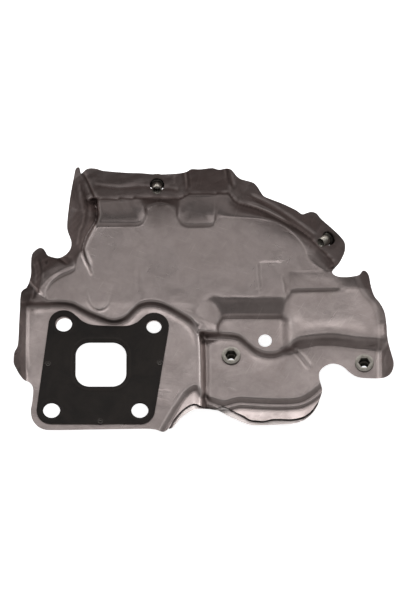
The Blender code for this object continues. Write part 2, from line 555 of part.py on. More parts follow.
class Drawing:
    """Both trim lines and one set of triangles that serves the two sheets."""

    def __init__(self, form):
        shared = smooth_line(SHARED_EDGE, OUTLINE_STEP)
        front_only = smooth_line(FRONT_ONLY, OUTLINE_STEP)
        rear_only = smooth_line(REAR_ONLY, OUTLINE_STEP)
        self.front = np.vstack([shared[:-1], front_only[:-1]])
        self.rear = np.vstack([shared[:-1], rear_only[:-1]])
        count = len(self.front)
        points = [tuple(p) for p in self.front] + [tuple(p) for p in rear_only[1:-1]]
        edges = [(i, (i + 1) % count) for i in range(count)]
        chain = [len(shared) - 1] + list(range(count, len(points))) + [0]
        edges += list(zip(chain[:-1], chain[1:]))
        span = np.arange(GRID_LOW[0], GRID_HIGH[0], START_GRID_STEP)
        uu, vv = (g.ravel() for g in np.meshgrid(span, span))
        clear = np.abs(depth_inside(uu, vv, self.rear)) > START_GRID_MARGIN
        keep = (depth_inside(uu, vv, self.front) > START_GRID_MARGIN) & clear
        points += list(zip(uu[keep].tolist(), vv[keep].tolist()))
        start = len(points)
        for _ in range(MESH_ROUNDS):
            verts, faces = triangulate(points, edges)
            faces = self.within(verts, faces, self.front, self.rear)
            room = MESH_POINTS - (len(points) - start)
            if room <= 0:
                break
            points += worst_points(form, verts, faces, min(room, POINTS_PER_ROUND), LEAST_SPACING)
        self.verts, self.faces = triangulate(points, edges)

    @staticmethod
    def within(verts, faces, *loops):
        """The triangles whose middle is inside any of the loops."""
        middle = verts[faces].mean(axis=1)
        keep = np.zeros(len(faces), dtype=bool)
        for loop in loops:
            keep |= is_inside(middle[:, 0], middle[:, 1], loop)
        return faces[keep]


# ---------------------------------------------------------------- objects
def clear_scene():
    """Removes what the scene starts with."""
    for obj in list(bpy.data.objects):
        bpy.data.objects.remove(obj, do_unlink=True)


def make_collection(name):
    """A collection linked to the scene."""
    collection = bpy.data.collections.new(name)
    bpy.context.scene.collection.children.link(collection)
    return collection


def make_material(name, colour, roughness, metallic):
    """A Principled material."""
    material = bpy.data.materials.new(name)
    material.use_nodes = True
    shader = material.node_tree.nodes["Principled BSDF"]
    shader.inputs["Base Color"].default_value = (*colour, 1.0)
    shader.inputs["Roughness"].default_value = roughness
    shader.inputs["Metallic"].default_value = metallic
    return material


def add_object(name, bm, collection, material=None):
    """Turns a bmesh in millimetres into an object in metres."""
    bmesh.ops.recalc_face_normals(bm, faces=bm.faces)
    mesh = bpy.data.meshes.new(name)
    bmesh.ops.scale(bm, vec=(MM, MM, MM), verts=bm.verts)
    bm.to_mesh(mesh)
    bm.free()
    obj = bpy.data.objects.new(name, mesh)
    collection.objects.link(obj)
    if material:
        mesh.materials.append(material)
    return obj


def cut_with(obj, cutter):
    """Cuts one object with another."""
    modifier = obj.modifiers.new("holes", "BOOLEAN")
    modifier.operation = "DIFFERENCE"
    modifier.solver = "EXACT"
    modifier.object = cutter


def make_sheet(name, form, drawing, loop, top_depth, collection, material):
    """One pressed sheet: its open face extruded along the press direction."""
    faces = Drawing.within(drawing.verts, drawing.faces, loop)
    used = np.unique(faces)
    index = {int(old): new for new, old in enumerate(used)}
    u, v = drawing.verts[used].T
    facing = np.maximum(normals(form, u, v, SMOOTH_PROBE) @ press_direction(), LEAST_FACING)
    lip = np.clip((-24.0 - v) / 8.0, 0.0, 1.0) * (u > 58.0)
    depth = top_depth + (LIP_GAP * lip if top_depth else 0.0)
    surface = place(u, v, form.height(u, v))
    front = surface - (depth / facing)[:, None] * press_direction()
    back = surface - ((depth + SHEET_THICKNESS) / facing)[:, None] * press_direction()
    bm = bmesh.new()
    number = bm.verts.layers.int.new("number")
    verts = [bm.verts.new(p) for p in front]
    for k, vert in enumerate(verts):
        vert[number] = k
    for face in faces:
        bm.faces.new([verts[index[int(i)]] for i in face])
    ret = bmesh.ops.extrude_face_region(bm, geom=bm.faces[:], use_keep_orig=True)
    for item in ret["geom"]:
        if isinstance(item, bmesh.types.BMVert):
            item.co = Vector(back[item[number]])
    return add_object(name, bm, collection, material)


def add_cylinder(bm, radius, low, high, segments, matrix):
    """A closed cylinder or prism between two heights."""
    bmesh.ops.create_cone(bm, cap_ends=True, segments=segments, radius1=radius, radius2=radius,
                          depth=high - low,
                          matrix=matrix @ Matrix.Translation((0.0, 0.0, (low + high) / 2)))


def port_points(margin, step=6):
    """Outline of the exhaust port, a rectangle with round corners."""
    half_x = PORT_LENGTH / 2 + margin
    half_y = PORT_HEIGHT / 2 + margin
    radius = PORT_CORNER_RADIUS + margin
    points = []
    for quarter, (sx, sy) in enumerate(((1, 1), (-1, 1), (-1, -1), (1, -1))):
        for k in range(step + 1):
            angle = math.radians(90.0 * quarter + 90.0 * k / step)
            points.append((sx * (half_x - radius) + radius * math.cos(angle),
                           sy * (half_y - radius) + radius * math.sin(angle)))
    return points


def circle_points(centre, radius, segments):
    """Points of a circle."""
    return [(centre[0] + radius * math.cos(2 * math.pi * k / segments),
             centre[1] + radius * math.sin(2 * math.pi * k / segments)) for k in range(segments)]


def stud_holes():
    """Centres and diameters of the four stud holes in the part's frame."""
    sizes = (STUD_HOLE_DIAMETER, STUD_HOLE_DIAMETER, STUD_HOLE_DIAMETER, UPPER_STUD_HOLE_DIAMETER)
    return [((x * STRETCH_X, y * STRETCH_Y), size) for (x, y), size in zip(STUD_HOLES, sizes)]


def lobe_points(centre, start, stop, count=9):
    """Points of the gasket's edge round one stud hole, between two directions in degrees."""
    return [(centre[0] * STRETCH_X + GASKET_LOBE_RADIUS * math.cos(math.radians(a)),
             centre[1] * STRETCH_Y + GASKET_LOBE_RADIUS * math.sin(math.radians(a)))
            for a in np.linspace(start, stop, count)]


def gasket_outline():
    """Outline of the gasket: a lobe round each stud and a dip between the upper two."""
    lower_left, lower_right, upper_left, upper_right = STUD_HOLES
    dip = [(x * STRETCH_X, y * STRETCH_Y) for x, y in GASKET_DIP]
    return (lobe_points(lower_left, 270.0, LEFT_EDGE_DIRECTION)
            + lobe_points(upper_left, LEFT_EDGE_DIRECTION, 42.0) + dip
            + lobe_points(upper_right, 138.0, RIGHT_EDGE_DIRECTION)
            + lobe_points(lower_right, RIGHT_EDGE_DIRECTION, -90.0))


def rivet_spots():
    """Centres of the gasket's rivets, set in from its three straight edges."""
    lower_left, lower_right, upper_left, upper_right = STUD_HOLES
    edges = {
        "left": (lobe_points(upper_left, LEFT_EDGE_DIRECTION, 0.0)[0],
                 lobe_points(lower_left, LEFT_EDGE_DIRECTION, 0.0)[0]),
        "right": (lobe_points(lower_right, RIGHT_EDGE_DIRECTION, 0.0)[0],
                  lobe_points(upper_right, RIGHT_EDGE_DIRECTION, 0.0)[0]),
        "bottom": (lobe_points(lower_left, -90.0, 0.0)[0], lobe_points(lower_right, -90.0, 0.0)[0]),
    }
    spots = {}
    for name, (share, inset) in GASKET_RIVETS.items():
        start, end = (np.array(corner) for corner in edges[name])
        along = (end - start) / np.linalg.norm(end - start)
        inward = np.array([-along[1], along[0]])
        spots[name] = tuple(start + share * (end - start) + inset * inward)
    return spots


def flat_plate(name, outlines, low, high, collection, material):
    """A flat plate from filled 2D outlines, extruded between two heights."""
    curve = bpy.data.curves.new(name, "CURVE")
    curve.dimensions = "2D"
    curve.fill_mode = "BOTH"
    curve.extrude = (high - low) / 2 * MM
    for points in outlines:
        spline = curve.splines.new("POLY")
        spline.points.add(len(points) - 1)
        for point, (x, y) in zip(spline.points, points):
            point.co = (x * MM, y * MM, 0.0, 1.0)
        spline.use_cyclic_u = True
    obj = bpy.data.objects.new(name, curve)
    collection.objects.link(obj)
    obj.location = (0.0, 0.0, (low + high) / 2 * MM)
    curve.materials.append(material)
    return obj


def turned_rings(name, rings, matrix, collection, material):
    """A body with a through hole from rings of equal point count, joined in a closed chain.

    Each ring is (height, distance to a corner, number of sides), with 0 sides for a circle.
    """
    count = 24
    bm = bmesh.new()
    loops = []
    for height, reach, sides in rings:
        loop = []
        for k in range(count):
            angle = 2 * math.pi * k / count
            radius = reach
            if sides:
                part = math.pi / sides
                radius = reach * math.cos(part) / math.cos((angle % (2 * part)) - part)
            loop.append(bm.verts.new(matrix @ Vector((radius * math.cos(angle),
                                                      radius * math.sin(angle), height))))
        loops.append(loop)
    for a, b in zip(loops, loops[1:] + loops[:1]):
        for k in range(count):
            bm.faces.new((a[k], a[(k + 1) % count], b[(k + 1) % count], b[k]))
    return add_object(name, bm, collection, material)


def nut_rings():
    """Profile of a rivet nut: flange at height 0 and up, shank below it."""
    corner = NUT_ACROSS_CORNERS / 2
    mouth = NUT_MOUTH_ACROSS_CORNERS / 2
    thread = NUT_THREAD_DIAMETER / 2
    flange = NUT_FLANGE_DIAMETER / 2
    tail = -NUT_LENGTH + NUT_END_TAPER_LENGTH
    return ((-NUT_LENGTH, corner - NUT_END_TAPER, 0), (tail, corner, 6), (0.0, corner, 6),
            (0.0, flange - NUT_FLANGE_BREAK, 0), (NUT_FLANGE_THICKNESS - NUT_FLANGE_BREAK, flange, 0),
            (NUT_FLANGE_THICKNESS, flange - NUT_FLANGE_CHAMFER, 0), (NUT_FLANGE_THICKNESS, mouth, 6),
            (-NUT_MOUTH_DEPTH, mouth, 6), (-NUT_MOUTH_DEPTH - NUT_STEP_DOWN, thread, 0),
            (-NUT_LENGTH, thread, 0))


def stack_depth(form, u0, v0, spot, normal):
    """How deep both sheets reach behind a point of a wall, over the width of a nut's flange."""
    radii = np.linspace(0.0, NUT_FLANGE_DIAMETER / 2, 4)
    reach, turn = np.meshgrid(radii, np.linspace(0.0, 2 * math.pi, 24))
    u = u0 + (reach * np.cos(turn)).ravel()
    v = v0 + (reach * np.sin(turn)).ravel()
    facing = np.maximum(normals(form, u, v, SMOOTH_PROBE) @ press_direction(), LEAST_FACING)
    stack = 2 * SHEET_THICKNESS + SHEET_GAP
    back = place(u, v, form.height(u, v)) - (stack / facing)[:, None] * press_direction()
    return float(((np.array(spot) - back) @ np.array(normal)).max())


def nut_frames(form):
    """Where each rivet nut sits and which way its flange faces."""
    frames = {}
    for spots, on_wall in ((NUTS_ON_PANELS, False), (NUTS_ON_WALLS, True)):
        for name, (u0, v0) in spots.items():
            u = np.array([u0])
            v = np.array([v0])
            spot = Vector(place(u, v, form.height(u, v))[0])
            normal = Vector(normals(form, u, v)[0]) if on_wall else Vector((0.0, 0.0, 1.0))
            turn = Vector((0.0, 0.0, 1.0)).rotation_difference(normal).to_matrix().to_4x4()
            seat = CLEARANCE
            if on_wall:
                seat = stack_depth(form, u0, v0, spot, normal) + CLEARANCE
                turn = turn @ Matrix.Rotation(math.pi, 4, "X")
            frames[name] = Matrix.Translation(spot) @ turn @ Matrix.Translation((0.0, 0.0, seat))
    return frames


def make_cutters(form, frames, collection):
    """The holes of both sheets as closed solids."""
    nut_radius = NUT_ACROSS_CORNERS / 2 + CLEARANCE
    sheet_holes = bmesh.new()
    for (x, y), diameter in stud_holes():
        add_cylinder(sheet_holes, diameter / 2, -CUTTER_REACH, CUTTER_REACH, ROUND_SEGMENTS,
                     Matrix.Translation((x, y, 0.0)))
    for x, y in rivet_spots().values():
        add_cylinder(sheet_holes, RIVET_SHANK_DIAMETER / 2 + CLEARANCE, -CUTTER_REACH, CUTTER_REACH, 12,
                     Matrix.Translation((x, y, 0.0)))
    rear_holes = bmesh.new()
    u = np.array([PLAIN_HOLE[0]])
    v = np.array([PLAIN_HOLE[1]])
    plain = Matrix.Translation(Vector(place(u, v, form.height(u, v))[0]))
    for bm in (sheet_holes, rear_holes):
        add_cylinder(bm, PLAIN_HOLE_DIAMETER / 2, -CUTTER_REACH, CUTTER_REACH, ROUND_SEGMENTS, plain)
        for frame in frames.values():
            add_cylinder(bm, nut_radius, -NUT_CUTTER_REACH, NUT_CUTTER_REACH, ROUND_SEGMENTS, frame)
    port = bmesh.new()
    ring = [port.verts.new((x, y, -CUTTER_REACH)) for x, y in port_points(SHEET_HOLE_MARGIN)]
    face = port.faces.new(ring)
    ret = bmesh.ops.extrude_face_region(port, geom=[face], use_keep_orig=True)
    for item in ret["geom"]:
        if isinstance(item, bmesh.types.BMVert):
            item.co.z = CUTTER_REACH
    cutters = []
    for name, bm in (("front_holes", sheet_holes), ("rear_holes", rear_holes), ("port_hole", port)):
        cutter = add_object(name, bm, collection)
        cutter.hide_render = True
        cutter.display_type = "WIRE"
        cutters.append(cutter)
    return cutters


def make_rivet(name, spot, collection, material):
    """A small rivet through the gasket pack: a head on each side and a shank."""
    stack = GASKET_THICKNESS + 2 * CLEARANCE
    top = stack
    bottom = -(SHEET_THICKNESS + stack)
    head = RIVET_HEAD_DIAMETER / 2
    shank = RIVET_SHANK_DIAMETER / 2
    profile = ((0.0, top + RIVET_HEAD_THICKNESS), (head * 0.7, top + RIVET_HEAD_THICKNESS),
               (head, top + RIVET_HEAD_THICKNESS * 0.4), (head, top), (shank, top), (shank, bottom),
               (head, bottom), (head, bottom - RIVET_HEAD_THICKNESS), (0.0, bottom - RIVET_HEAD_THICKNESS))
    mesh = bpy.data.meshes.new(name)
    bm = bmesh.new()
    verts = [bm.verts.new((x * MM, 0.0, z * MM)) for x, z in profile]
    for a, b in zip(verts, verts[1:]):
        bm.edges.new((a, b))
    bm.to_mesh(mesh)
    bm.free()
    obj = bpy.data.objects.new(name, mesh)
    collection.objects.link(obj)
    mesh.materials.append(material)
    obj.location = (spot[0] * MM, spot[1] * MM, 0.0)
    screw = obj.modifiers.new("turn", "SCREW")
    screw.angle = 2 * math.pi
    screw.steps = 16
    screw.render_steps = 16
    screw.use_merge_vertices = True
    screw.merge_threshold = 0.00001
    return obj


def main():
    """Builds the whole part."""
    clear_scene()
    parts = make_collection("exhaust_heat_shield")
    cutters = make_collection("cutters")
    steel = {
        "front_sheet": ((0.30, 0.26, 0.25), 0.45, 1.0),
        "rear_sheet": ((0.42, 0.40, 0.39), 0.40, 1.0),
    }
    form = Form()
    drawing = Drawing(form)
    frames = nut_frames(form)
    front_holes, rear_holes, port_hole = make_cutters(form, frames, cutters)

    placed = []
    front = make_sheet("front_sheet", form, drawing, drawing.front, 0.0, parts,
                       make_material("front_sheet", *steel["front_sheet"]))
    rear = make_sheet("rear_sheet", form, drawing, drawing.rear, SHEET_THICKNESS + SHEET_GAP, parts,
                      make_material("rear_sheet", *steel["rear_sheet"]))
    cut_with(front, front_holes)
    cut_with(front, port_hole)
    cut_with(rear, rear_holes)
    placed += [front, rear, front_holes, rear_holes, port_hole]

    outline = gasket_outline()
    holes = [circle_points(centre, size / 2, 24) for centre, size in stud_holes()]
    shank_hole = RIVET_SHANK_DIAMETER / 2 + CLEARANCE
    holes += [circle_points(spot, shank_hole, 12) for spot in rivet_spots().values()]
    holes.append(port_points(0.0))
    top = CLEARANCE + GASKET_THICKNESS
    bottom = -SHEET_THICKNESS - CLEARANCE
    placed.append(flat_plate("gasket_front_layer", [outline] + holes, CLEARANCE, top, parts,
                             make_material("gasket_front_layer", (0.015, 0.012, 0.011), 0.55, 0.0)))
    under = bottom - GASKET_THICKNESS
    placed.append(flat_plate("gasket_rear_layer", [outline] + holes, under, bottom, parts,
                             make_material("gasket_rear_layer", (0.015, 0.012, 0.011), 0.6, 0.0)))
    for name, spot in rivet_spots().items():
        placed.append(make_rivet("gasket_rivet_" + name, spot, parts,
                                 make_material("gasket_rivet_" + name, (0.03, 0.028, 0.026), 0.5, 0.6)))
    for name, frame in frames.items():
        placed.append(turned_rings("rivet_nut_" + name, nut_rings(), frame, parts,
                                   make_material("rivet_nut_" + name, (0.33, 0.33, 0.29), 0.4, 1.0)))

    origin = bpy.data.objects.new("origin", None)
    parts.objects.link(origin)
    bpy.context.view_layer.update()
    corners = [obj.matrix_world @ Vector(c) for obj in placed if obj.name in parts.objects
               for c in obj.bound_box]
    low = [min(c[k] for c in corners) for k in range(3)]
    high = [max(c[k] for c in corners) for k in range(3)]
    for obj in placed:
        obj.parent = origin
    origin.location = (-(low[0] + high[0]) / 2, -(low[1] + high[1]) / 2, -low[2])
    bpy.context.view_layer.update()


main()
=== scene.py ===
"""Looks of a double walled exhaust heat shield with its flange gasket.

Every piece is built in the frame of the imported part, in metres. The sheets
are drawn in millimetres on the die plane, which is square to the direction
the press works in, and the form of the pressing gives each point its height.
"""
import logging
import math
from dataclasses import dataclass, field
from enum import Enum
from typing import Callable, Dict, Iterable, List, Optional, Sequence, Tuple

import bmesh
import bpy
import numpy as np
from mathutils import Matrix, Vector
from mathutils.geometry import delaunay_2d_cdt


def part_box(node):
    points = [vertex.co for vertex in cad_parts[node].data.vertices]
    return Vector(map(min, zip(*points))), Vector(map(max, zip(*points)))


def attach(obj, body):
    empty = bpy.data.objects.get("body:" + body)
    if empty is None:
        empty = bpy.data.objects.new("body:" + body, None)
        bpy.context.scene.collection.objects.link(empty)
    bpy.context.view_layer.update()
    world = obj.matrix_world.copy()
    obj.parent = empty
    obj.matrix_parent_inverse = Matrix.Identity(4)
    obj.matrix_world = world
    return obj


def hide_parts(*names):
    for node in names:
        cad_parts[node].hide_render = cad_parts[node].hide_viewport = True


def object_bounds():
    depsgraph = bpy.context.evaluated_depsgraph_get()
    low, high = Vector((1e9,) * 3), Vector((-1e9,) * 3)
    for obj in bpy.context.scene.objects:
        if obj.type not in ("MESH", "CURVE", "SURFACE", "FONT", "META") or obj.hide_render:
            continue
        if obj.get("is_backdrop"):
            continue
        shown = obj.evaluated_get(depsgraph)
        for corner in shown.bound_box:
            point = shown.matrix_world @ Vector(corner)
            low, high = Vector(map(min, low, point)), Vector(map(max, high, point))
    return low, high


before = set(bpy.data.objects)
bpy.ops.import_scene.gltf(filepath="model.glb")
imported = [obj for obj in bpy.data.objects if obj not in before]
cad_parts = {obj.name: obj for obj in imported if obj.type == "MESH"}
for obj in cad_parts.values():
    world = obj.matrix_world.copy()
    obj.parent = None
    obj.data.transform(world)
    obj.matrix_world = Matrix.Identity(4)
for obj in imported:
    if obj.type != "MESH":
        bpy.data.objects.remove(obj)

log = logging.getLogger("heat_shield")

MM = 0.001
FAR = 200.0
ROOT_BODY = "root"

Point = Tuple[float, float]
Array = np.ndarray

# ---------------------------------------------------------------- drawing on the die plane (mm)
# Chosen points of each drawn line, first coordinate along the shield, second up the die plane.
SHARED_EDGE = (
    (126.3, -20.7), (127.5, -17.3), (128.0, -14.6), (127.2, -11.5), (126.3, -8.0), (126.3, -4.8),
    (128.0, -2.3), (130.9, -0.4), (134.4, 0.4), (137.9, -0.3), (140.8, -1.9), (143.4, -4.3),
    (146.0, -6.2), (148.9, -7.4), (153.6, -8.0), (160.8, -8.1), (164.6, -7.3), (167.5, -5.1),
    (169.0, -1.6), (169.2, 1.3), (168.2, 5.4), (166.8, 10.6), (165.7, 16.4), (165.3, 23.3),
    (164.2, 30.3), (161.6, 35.5), (158.8, 39.0), (157.2, 42.8), (156.1, 47.1), (155.3, 51.2),
    (153.8, 53.8), (151.8, 54.3), (149.7, 51.9), (146.0, 51.0), (141.4, 50.6), (137.3, 51.0),
    (134.7, 52.3), (134.1, 53.8), (135.6, 55.8), (137.6, 58.1), (139.6, 61.6), (141.0, 65.1),
    (141.3, 68.6), (140.5, 71.5), (137.3, 75.3), (132.7, 79.6), (127.5, 84.2), (124.8, 87.4),
    (121.9, 88.4), (119.0, 87.7), (116.4, 87.1), (112.8, 89.5), (105.4, 93.1), (98.7, 95.7),
    (94.4, 97.6), (92.4, 100.2), (90.3, 103.4), (88.0, 105.4), (84.5, 106.5), (80.9, 107.6),
    (78.4, 109.5), (76.4, 112.0), (75.0, 113.2), (72.4, 113.6), (68.3, 112.9), (64.2, 113.8),
    (57.3, 113.1), (52.3, 113.2), (49.2, 111.6), (45.1, 110.8), (38.1, 110.3), (30.6, 110.3),
    (23.1, 110.9), (15.5, 111.1), (6.8, 111.7), (1.0, 112.3), (-2.8, 113.4), (-6.4, 113.7),
    (-8.8, 113.0), (-10.6, 111.5), (-11.7, 110.6), (-12.2, 112.1), (-12.7, 114.1), (-14.1, 114.1),
    (-15.1, 112.7), (-15.8, 109.2), (-17.5, 100.5), (-18.7, 91.8), (-19.7, 82.5), (-19.6, 77.9),
    (-18.4, 74.1), (-17.5, 71.5), (-17.5, 68.6), (-18.7, 65.7), (-21.3, 63.1), (-24.9, 61.6),
    (-29.4, 62.5), (-31.2, 63.4), (-32.3, 65.5), (-33.8, 67.2), (-35.6, 67.4), (-38.3, 65.7),
    (-40.0, 63.1), (-40.5, 58.1), (-40.6, 52.3), (-41.8, 47.1), (-43.4, 44.2),
)
FRONT_ONLY = (
    (-43.4, 44.2), (-45.5, 42.8), (-46.7, 39.6), (-47.4, 25.7), (-48.0, 11.7), (-49.9, 7.1),
    (-50.3, 1.3), (-48.7, -2.5), (-46.8, -5.9), (-44.2, -9.0), (-41.6, -10.1), (-39.6, -12.3),
    (-39.0, -15.5), (-39.5, -21.3), (-40.2, -26.0), (-39.6, -30.9), (-37.4, -34.4), (-34.4, -36.6),
    (-30.3, -37.6), (-20.4, -37.6), (-2.8, -37.3), (16.7, -37.0), (27.1, -36.9), (31.8, -37.4),
    (35.8, -38.7), (38.1, -37.8), (39.9, -35.8), (41.9, -32.0), (45.7, -27.5), (49.2, -24.5),
    (52.6, -22.8), (55.5, -22.8), (57.9, -24.0), (61.3, -24.7), (65.4, -25.1), (67.7, -25.0),
    (70.0, -24.3), (72.6, -24.8), (77.6, -27.4), (82.8, -29.8), (86.3, -31.8), (90.3, -32.3),
    (94.4, -32.5), (99.0, -31.5), (104.3, -31.4), (110.1, -31.5), (115.3, -30.6), (118.5, -29.2),
    (121.7, -26.7), (124.3, -23.3), (126.3, -20.7),
)
REAR_ONLY = (
    (-43.4, 44.2), (-40.7, 40.5), (-36.7, 39.4), (-30.9, 39.2), (-22.8, 39.4), (-14.6, 39.0),
    (-8.8, 37.0), (-3.6, 32.3), (1.6, 29.1), (7.4, 28.4), (12.6, 29.6), (16.7, 33.8), (20.7, 37.6),
    (26.5, 39.4), (33.5, 39.3), (40.5, 37.4), (46.3, 34.7), (52.1, 30.9), (57.3, 25.1),
    (60.2, 18.1), (61.1, 9.4), (61.3, -4.5), (61.3, -13.8), (60.2, -18.4), (56.7, -19.3),
    (52.6, -18.4), (48.0, -22.2), (43.9, -27.7), (40.7, -32.9), (39.0, -36.7), (41.3, -36.4),
    (43.6, -33.8), (46.8, -30.3), (51.5, -27.1), (55.5, -25.5), (60.8, -25.7), (65.4, -26.3),
    (68.3, -26.9), (72.4, -29.1), (78.2, -31.8), (84.0, -34.2), (87.4, -34.9), (93.2, -35.0),
    (101.4, -34.7), (109.5, -34.3), (115.3, -33.0), (119.3, -30.7), (122.8, -27.4), (125.1, -23.9),
    (126.3, -20.7),
)
RIM_LINE = (
    (-12.3, 112.1), (-8.8, 104.5), (-5.9, 99.3), (-3.0, 96.4), (1.0, 95.7), (10.9, 96.1),
    (22.5, 96.7), (29.4, 96.8), (39.9, 96.2), (45.1, 96.3), (49.2, 98.2), (52.6, 99.0),
    (63.1, 98.9), (72.4, 99.6), (74.7, 98.7), (77.0, 95.6), (80.5, 93.2), (86.3, 91.7),
    (93.2, 89.5), (100.8, 86.0), (109.5, 81.6), (115.3, 78.1), (121.1, 73.8), (125.7, 68.9),
    (129.8, 64.8), (136.2, 57.3),
)
PANEL_TOP = (
    (-2.5, 81.1), (9.7, 81.1), (21.3, 81.3), (24.2, 82.8), (26.2, 86.3), (27.7, 90.6), (30.3, 93.3),
    (34.4, 94.3), (38.4, 93.2), (41.3, 90.0), (43.6, 85.4), (46.3, 81.6), (49.7, 80.4),
    (57.3, 80.3), (63.7, 80.5), (66.0, 82.8), (67.7, 84.5), (71.8, 85.3), (86.3, 85.3),
    (96.7, 84.7), (103.7, 82.5), (110.1, 78.8), (114.7, 74.4), (117.3, 69.2), (118.8, 62.8),
    (122.8, 58.1), (129.8, 54.1),
)
GASKET_STEP = (
    (-47.1, 35.1), (-32.6, 35.1), (-23.9, 35.4), (-17.0, 34.6), (-11.7, 32.0), (-6.5, 29.4),
    (-0.7, 27.1), (5.7, 25.0), (10.3, 25.3), (14.4, 27.1), (17.8, 30.3), (21.9, 34.0), (26.5, 35.3),
    (32.3, 35.1), (38.7, 33.0), (45.1, 29.5), (50.9, 25.9), (55.0, 21.4), (57.6, 15.2), (58.6, 8.3),
    (59.1, -6.2), (59.2, -16.1),
)
DIAGONAL = (
    (59.2, -16.1), (55.0, -11.7), (50.9, -13.5), (46.8, -17.0), (42.2, -23.6), (37.6, -31.2),
    (33.8, -37.8),
)
POCKET = (
    (61.3, 25.1), (66.0, 30.6), (71.2, 32.9), (104.3, 33.0), (107.7, 32.0),
)
NUT_STEP = (
    (57.3, 17.8), (63.7, 17.3), (69.5, 17.0), (77.0, 16.4), (81.1, 14.8), (84.8, 11.7), (89.5, 8.0),
    (94.7, 5.9), (99.9, 5.6), (104.3, 7.1), (107.4, 9.3), (109.5, 10.6),
)
SIDE_PANEL_EDGE = (
    (107.3, 11.2), (106.8, 22.8), (107.3, 34.4), (108.0, 38.1), (109.8, 41.0), (113.0, 42.7),
    (141.4, 43.2), (153.6, 43.4), (158.2, 41.9), (161.1, 37.8), (162.3, 26.8), (162.8, 12.9),
    (150.1, 12.1), (141.4, 13.3), (132.7, 14.4), (122.2, 13.5), (114.1, 11.7), (110.1, 9.4),
)
LIP_LINE = (
    (60.8, -17.8), (65.4, -19.3), (70.6, -21.0), (75.3, -19.9), (80.5, -18.9), (93.2, -19.6),
    (104.8, -19.9), (113.5, -19.3), (118.2, -17.4), (122.8, -14.0), (129.2, -8.0),
)
LEFT_FOOT = (
    (-2.5, 95.8), (-2.1, 87.1), (-4.5, 82.5), (-7.4, 78.4), (-9.4, 74.4), (-10.1, 70.3),
    (-11.7, 66.3), (-13.5, 62.8), (-14.1, 59.3), (-14.4, 55.8), (-17.0, 53.2), (-22.8, 50.6),
    (-28.0, 46.8), (-30.9, 42.2), (-32.0, 37.0),
)
LOW_LEFT_FOOT = (
    (-32.0, 37.0), (-37.8, 37.0), (-41.3, 36.1), (-41.9, 31.5), (-42.1, 14.1), (-42.1, -4.5),
    (-41.6, -12.6),
)
RIGHT_FOOT = (
    (147.4, 55.8), (149.0, 49.4), (151.2, 43.6), (154.6, 38.8), (158.0, 35.2), (159.8, 28.6),
    (160.9, 19.9), (160.8, 11.2), (160.7, 1.3), (160.6, -11.5),
)
FIRST_PAD = (
    (-6.5, 97.6), (22.5, 97.6), (24.8, 92.4), (26.2, 86.3), (24.2, 82.8), (21.3, 80.0), (-6.5, 80.0),
)
SECOND_PAD = (
    (45.0, 97.0), (43.6, 85.4), (46.3, 81.6), (49.7, 79.5), (66.0, 80.5), (67.2, 99.0),
)
BOSS = (
    (-7.7, 46.5), (-7.4, 37.3), (-5.1, 33.5), (-1.9, 31.5), (1.6, 32.2), (4.2, 34.9), (5.1, 39.0),
    (5.4, 46.5),
)
GROOVE = ((57.0, 22.0), (59.9, 15.0), (60.9, 8.0), (61.0, -19.0))
STUD_HOLES = ((-28.3, -29.1), (22.6, -29.1), (-21.8, 25.7), (30.6, 24.1))
GASKET_RIVETS = ((-30.7, 0.1), (34.0, 0.8), (-0.1, -36.3))
GASKET_DIP = ((-14.0, 30.4), (-10.8, 27.4), (-6.5, 25.4), (0.0, 24.6), (12.0, 24.3),
              (17.0, 24.9), (21.0, 26.8))
PLAIN_HOLE = (95.0, 13.7)
PANEL_NUTS = ((75.3, 4.8), (152.4, 0.7))
WALL_NUTS = ((32.3, 104.2), (131.6, 73.0))


@dataclass(frozen=True)
class PressedMark:
    """A shallow bead (above 0) or groove (below 0) along a line.

    Attributes:
        name: what it is.
        height: height of its middle, mm.
        spread: half of its width, mm.
        points: its line on the die plane.
    """

    name: str
    height: float
    spread: float
    points: Tuple[Point, ...]


